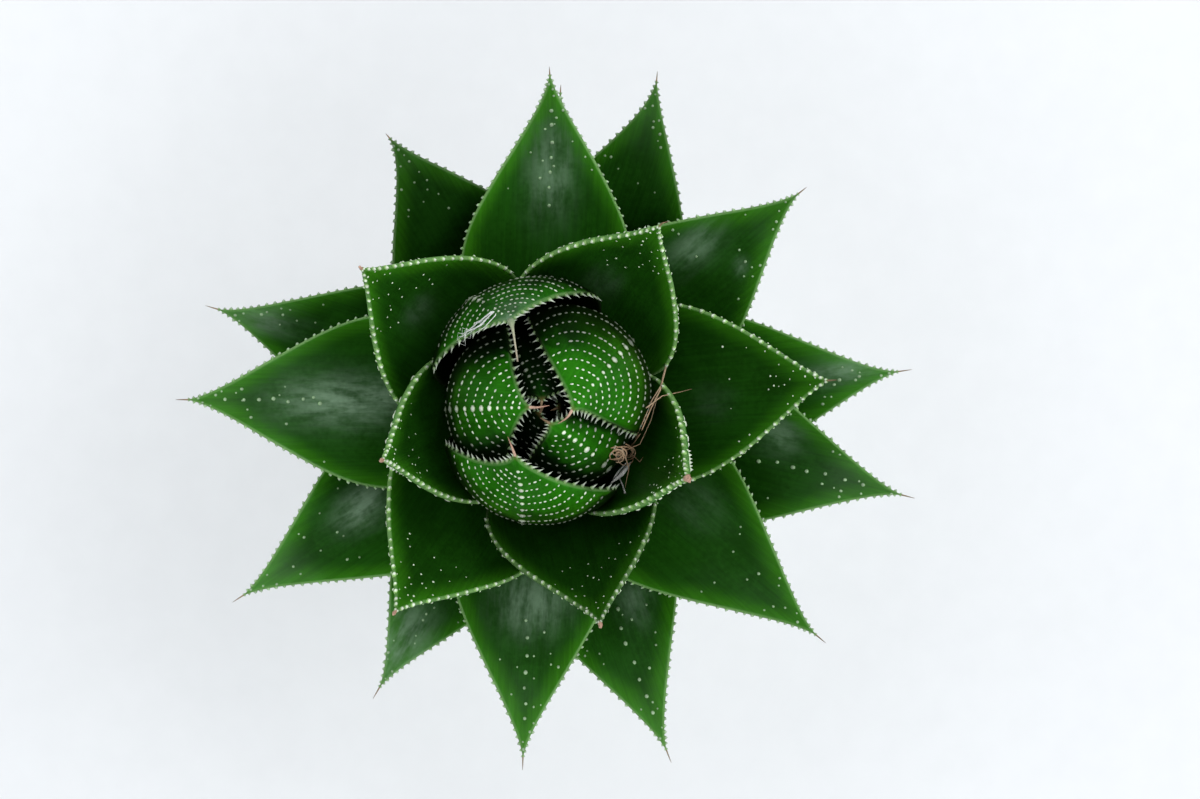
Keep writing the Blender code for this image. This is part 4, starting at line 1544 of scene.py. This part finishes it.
profile = [
    (0, 0),
    (FOOT_RADIUS, 0),
    (pot_radius(BAND_FOOT), BAND_FOOT),
    (RIM_RADIUS, BAND_FOOT + BAND_SLOPE),
    (RIM_RADIUS, POT_HEIGHT),
    (RIM_RADIUS - WALL, POT_HEIGHT),
    (RIM_RADIUS - WALL - RIM_PROUD, BAND_FOOT),
    (pot_radius(FLOOR) - WALL, FLOOR),
    (0, FLOOR),
]
bm = turned(profile, POT_SIDES)
corners = [edge for edge in bm.edges if len(edge.link_faces) == 2 and edge.calc_face_angle() > SHARP]
bmesh.ops.bevel(
    bm,
    geom=corners,
    offset=CORNER,
    offset_type="OFFSET",
    affect="EDGES",
    segments=4,
    profile=0.5,
    material=-1,
    clamp_overlap=True,
)
pot_mesh = bpy.data.meshes.new("pot_body")
bm.to_mesh(pot_mesh)
bm.free()
pot_body = bpy.data.objects.new("pot_body", pot_mesh)
bpy.context.collection.objects.link(pot_body)

drains = bmesh.new()
for number in range(DRAIN_HOLES):
    turn = Matrix.Rotation(math.tau * (number + 0.5) / DRAIN_HOLES, 4, "Z")
    bmesh.ops.create_cone(
        drains,
        cap_ends=True,
        segments=36,
        radius1=DRAIN_RADIUS,
        radius2=DRAIN_RADIUS,
        depth=3 * FLOOR,
        matrix=turn @ Matrix.Translation((DRAIN_CIRCLE, 0, FLOOR / 2)),
    )
drain_mesh = bpy.data.meshes.new("drain_cutter")
drains.to_mesh(drain_mesh)
drains.free()
cutter = bpy.data.objects.new("drain_cutter", drain_mesh)
bpy.context.collection.objects.link(cutter)
cut = pot_body.modifiers.new("Drain holes", "BOOLEAN")
cut.operation = "DIFFERENCE"
cut.object = cutter
cut.solver = "EXACT"
bpy.context.view_layer.update()
cut_mesh = bpy.data.meshes.new_from_object(pot_body.evaluated_get(bpy.context.evaluated_depsgraph_get()))
bpy.data.objects.remove(cutter, do_unlink=True)
bpy.data.objects.remove(pot_body, do_unlink=True)
bm = bmesh.new()
bm.from_mesh(cut_mesh)
print("pot:", len(bm.faces), "faces")

# %% [markdown]
# The glaze is a warm white with faint throwing rings, a few iron specks and a thin dusting of soil
# inside the rim. It stops a little above the foot, where the raw clay shows.

# %% Glaze the pot
GLAZE_COOL = (0.82, 0.805, 0.77)
GLAZE_WARM = (0.87, 0.86, 0.83)
SPECK = (0.30, 0.22, 0.14)
DUST = (0.16, 0.10, 0.06)
RAW_CLAY = (0.62, 0.53, 0.42)
RAW_TOP = 2.2 * MM
RING_SCALE = (8.0, 8.0, 260.0)

pot_glaze, tree, shader = start_material("pot_glaze", 0.3, 0.5, coat=0.25, coat_roughness=0.15)
place = object_place(tree)
parts = split(tree, place)
cloud = use_group(tree, mottle, {"Vector": place, "Scale": 30.0, "Finer": 4.0})
rings = add_node(tree, "ShaderNodeMapping", {"Vector": place, "Scale": RING_SCALE}).outputs[0]
throwing = noise_at(tree, rings, 1.0, 2.0)
speck_cells = add_node(tree, "ShaderNodeTexVoronoi", {"Vector": place, "Scale": 330.0}).outputs
speck = ramp(tree, speck_cells["Distance"], 0.05, 0.13, 1.0, 0.0)
lot = add_node(tree, "ShaderNodeSeparateColor", {0: speck_cells["Color"]}).outputs[0]
speck = math_node(tree, "MULTIPLY", speck, ramp(tree, lot, 0.8, 0.84))
white = blend_colours(tree, cloud["Height"], GLAZE_COOL, GLAZE_WARM)
white = blend_colours(tree, math_node(tree, "MULTIPLY", speck, 0.6), white, SPECK)
level = add_node(tree, "ShaderNodeCombineXYZ", {"X": parts["X"], "Y": parts["Y"]}).outputs[0]
from_axis = add_node(tree, "ShaderNodeVectorMath", {0: level}, operation="LENGTH").outputs["Value"]
slope = (RIM_RADIUS - RIM_PROUD - FOOT_RADIUS) / BAND_FOOT
outer_side = scaled(tree, parts["Z"], slope, FOOT_RADIUS)
from_outer = math_node(tree, "SUBTRACT", from_axis, outer_side)
inside = ramp(tree, from_outer, -2.4 * MM, -1.6 * MM, 1.0, 0.0)
near_soil = ramp(tree, parts["Z"], SOIL_TOP, SOIL_TOP + 5.5 * MM, 1.0, 0.12)
dirt = math_node(tree, "MULTIPLY", inside, near_soil)
dirt = math_node(tree, "MULTIPLY", dirt, ramp(tree, cloud["Height"], 0.35, 0.6))
white = blend_colours(tree, dirt, white, DUST)
foot_line = scaled(tree, cloud["Height"], 1.2 * MM, parts["Z"])
raw = ramp(tree, foot_line, RAW_TOP, RAW_TOP + 0.4 * MM, 1.0, 0.0)
white = blend_colours(tree, raw, white, RAW_CLAY)
tree.links.new(white, shader["Base Color"])
rough = scaled(tree, cloud["Mask"], 0.08, 0.29)
rough = scaled(tree, raw, 0.5, rough)
rough = scaled(tree, dirt, 0.5, rough, clamp=True)
tree.links.new(rough, shader["Roughness"])
relief = scaled(tree, throwing, 0.8, cloud["Height"])
add_bump(tree, shader, relief, 0.2, 0.25 * MM)
pot_piece = finish_piece("glazed_pot", ((bm, pot_glaze),), ("pot",))
pot_piece.data.set_sharp_from_angle(angle=math.radians(40))
print("glaze:", len(tree.nodes), "nodes")

# %% [markdown]
# ## The table top
# The floor is only a stage: a matt pale surface, barely mottled.

# %% Finish the floor
TABLE_DARK = (0.80, 0.81, 0.82)
TABLE_LIGHT = (0.83, 0.84, 0.85)

pale_top, tree, shader = start_material("pale_top", 0.7, 0.2)
place = object_place(tree)
cloud = use_group(tree, mottle, {"Vector": place, "Scale": 6.0, "Finer": 20.0})
shade = blend_colours(tree, cloud["Mask"], TABLE_DARK, TABLE_LIGHT)
tree.links.new(shade, shader["Base Color"])
tree.links.new(scaled(tree, cloud["Mask"], 0.1, 0.65), shader["Roughness"])
floor_mesh.materials.append(pale_top)

# %% Measure and finish
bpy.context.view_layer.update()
total = sum(len(p.vertices) - 2 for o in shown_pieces() for p in o.data.polygons)
print(total, "triangles in all")
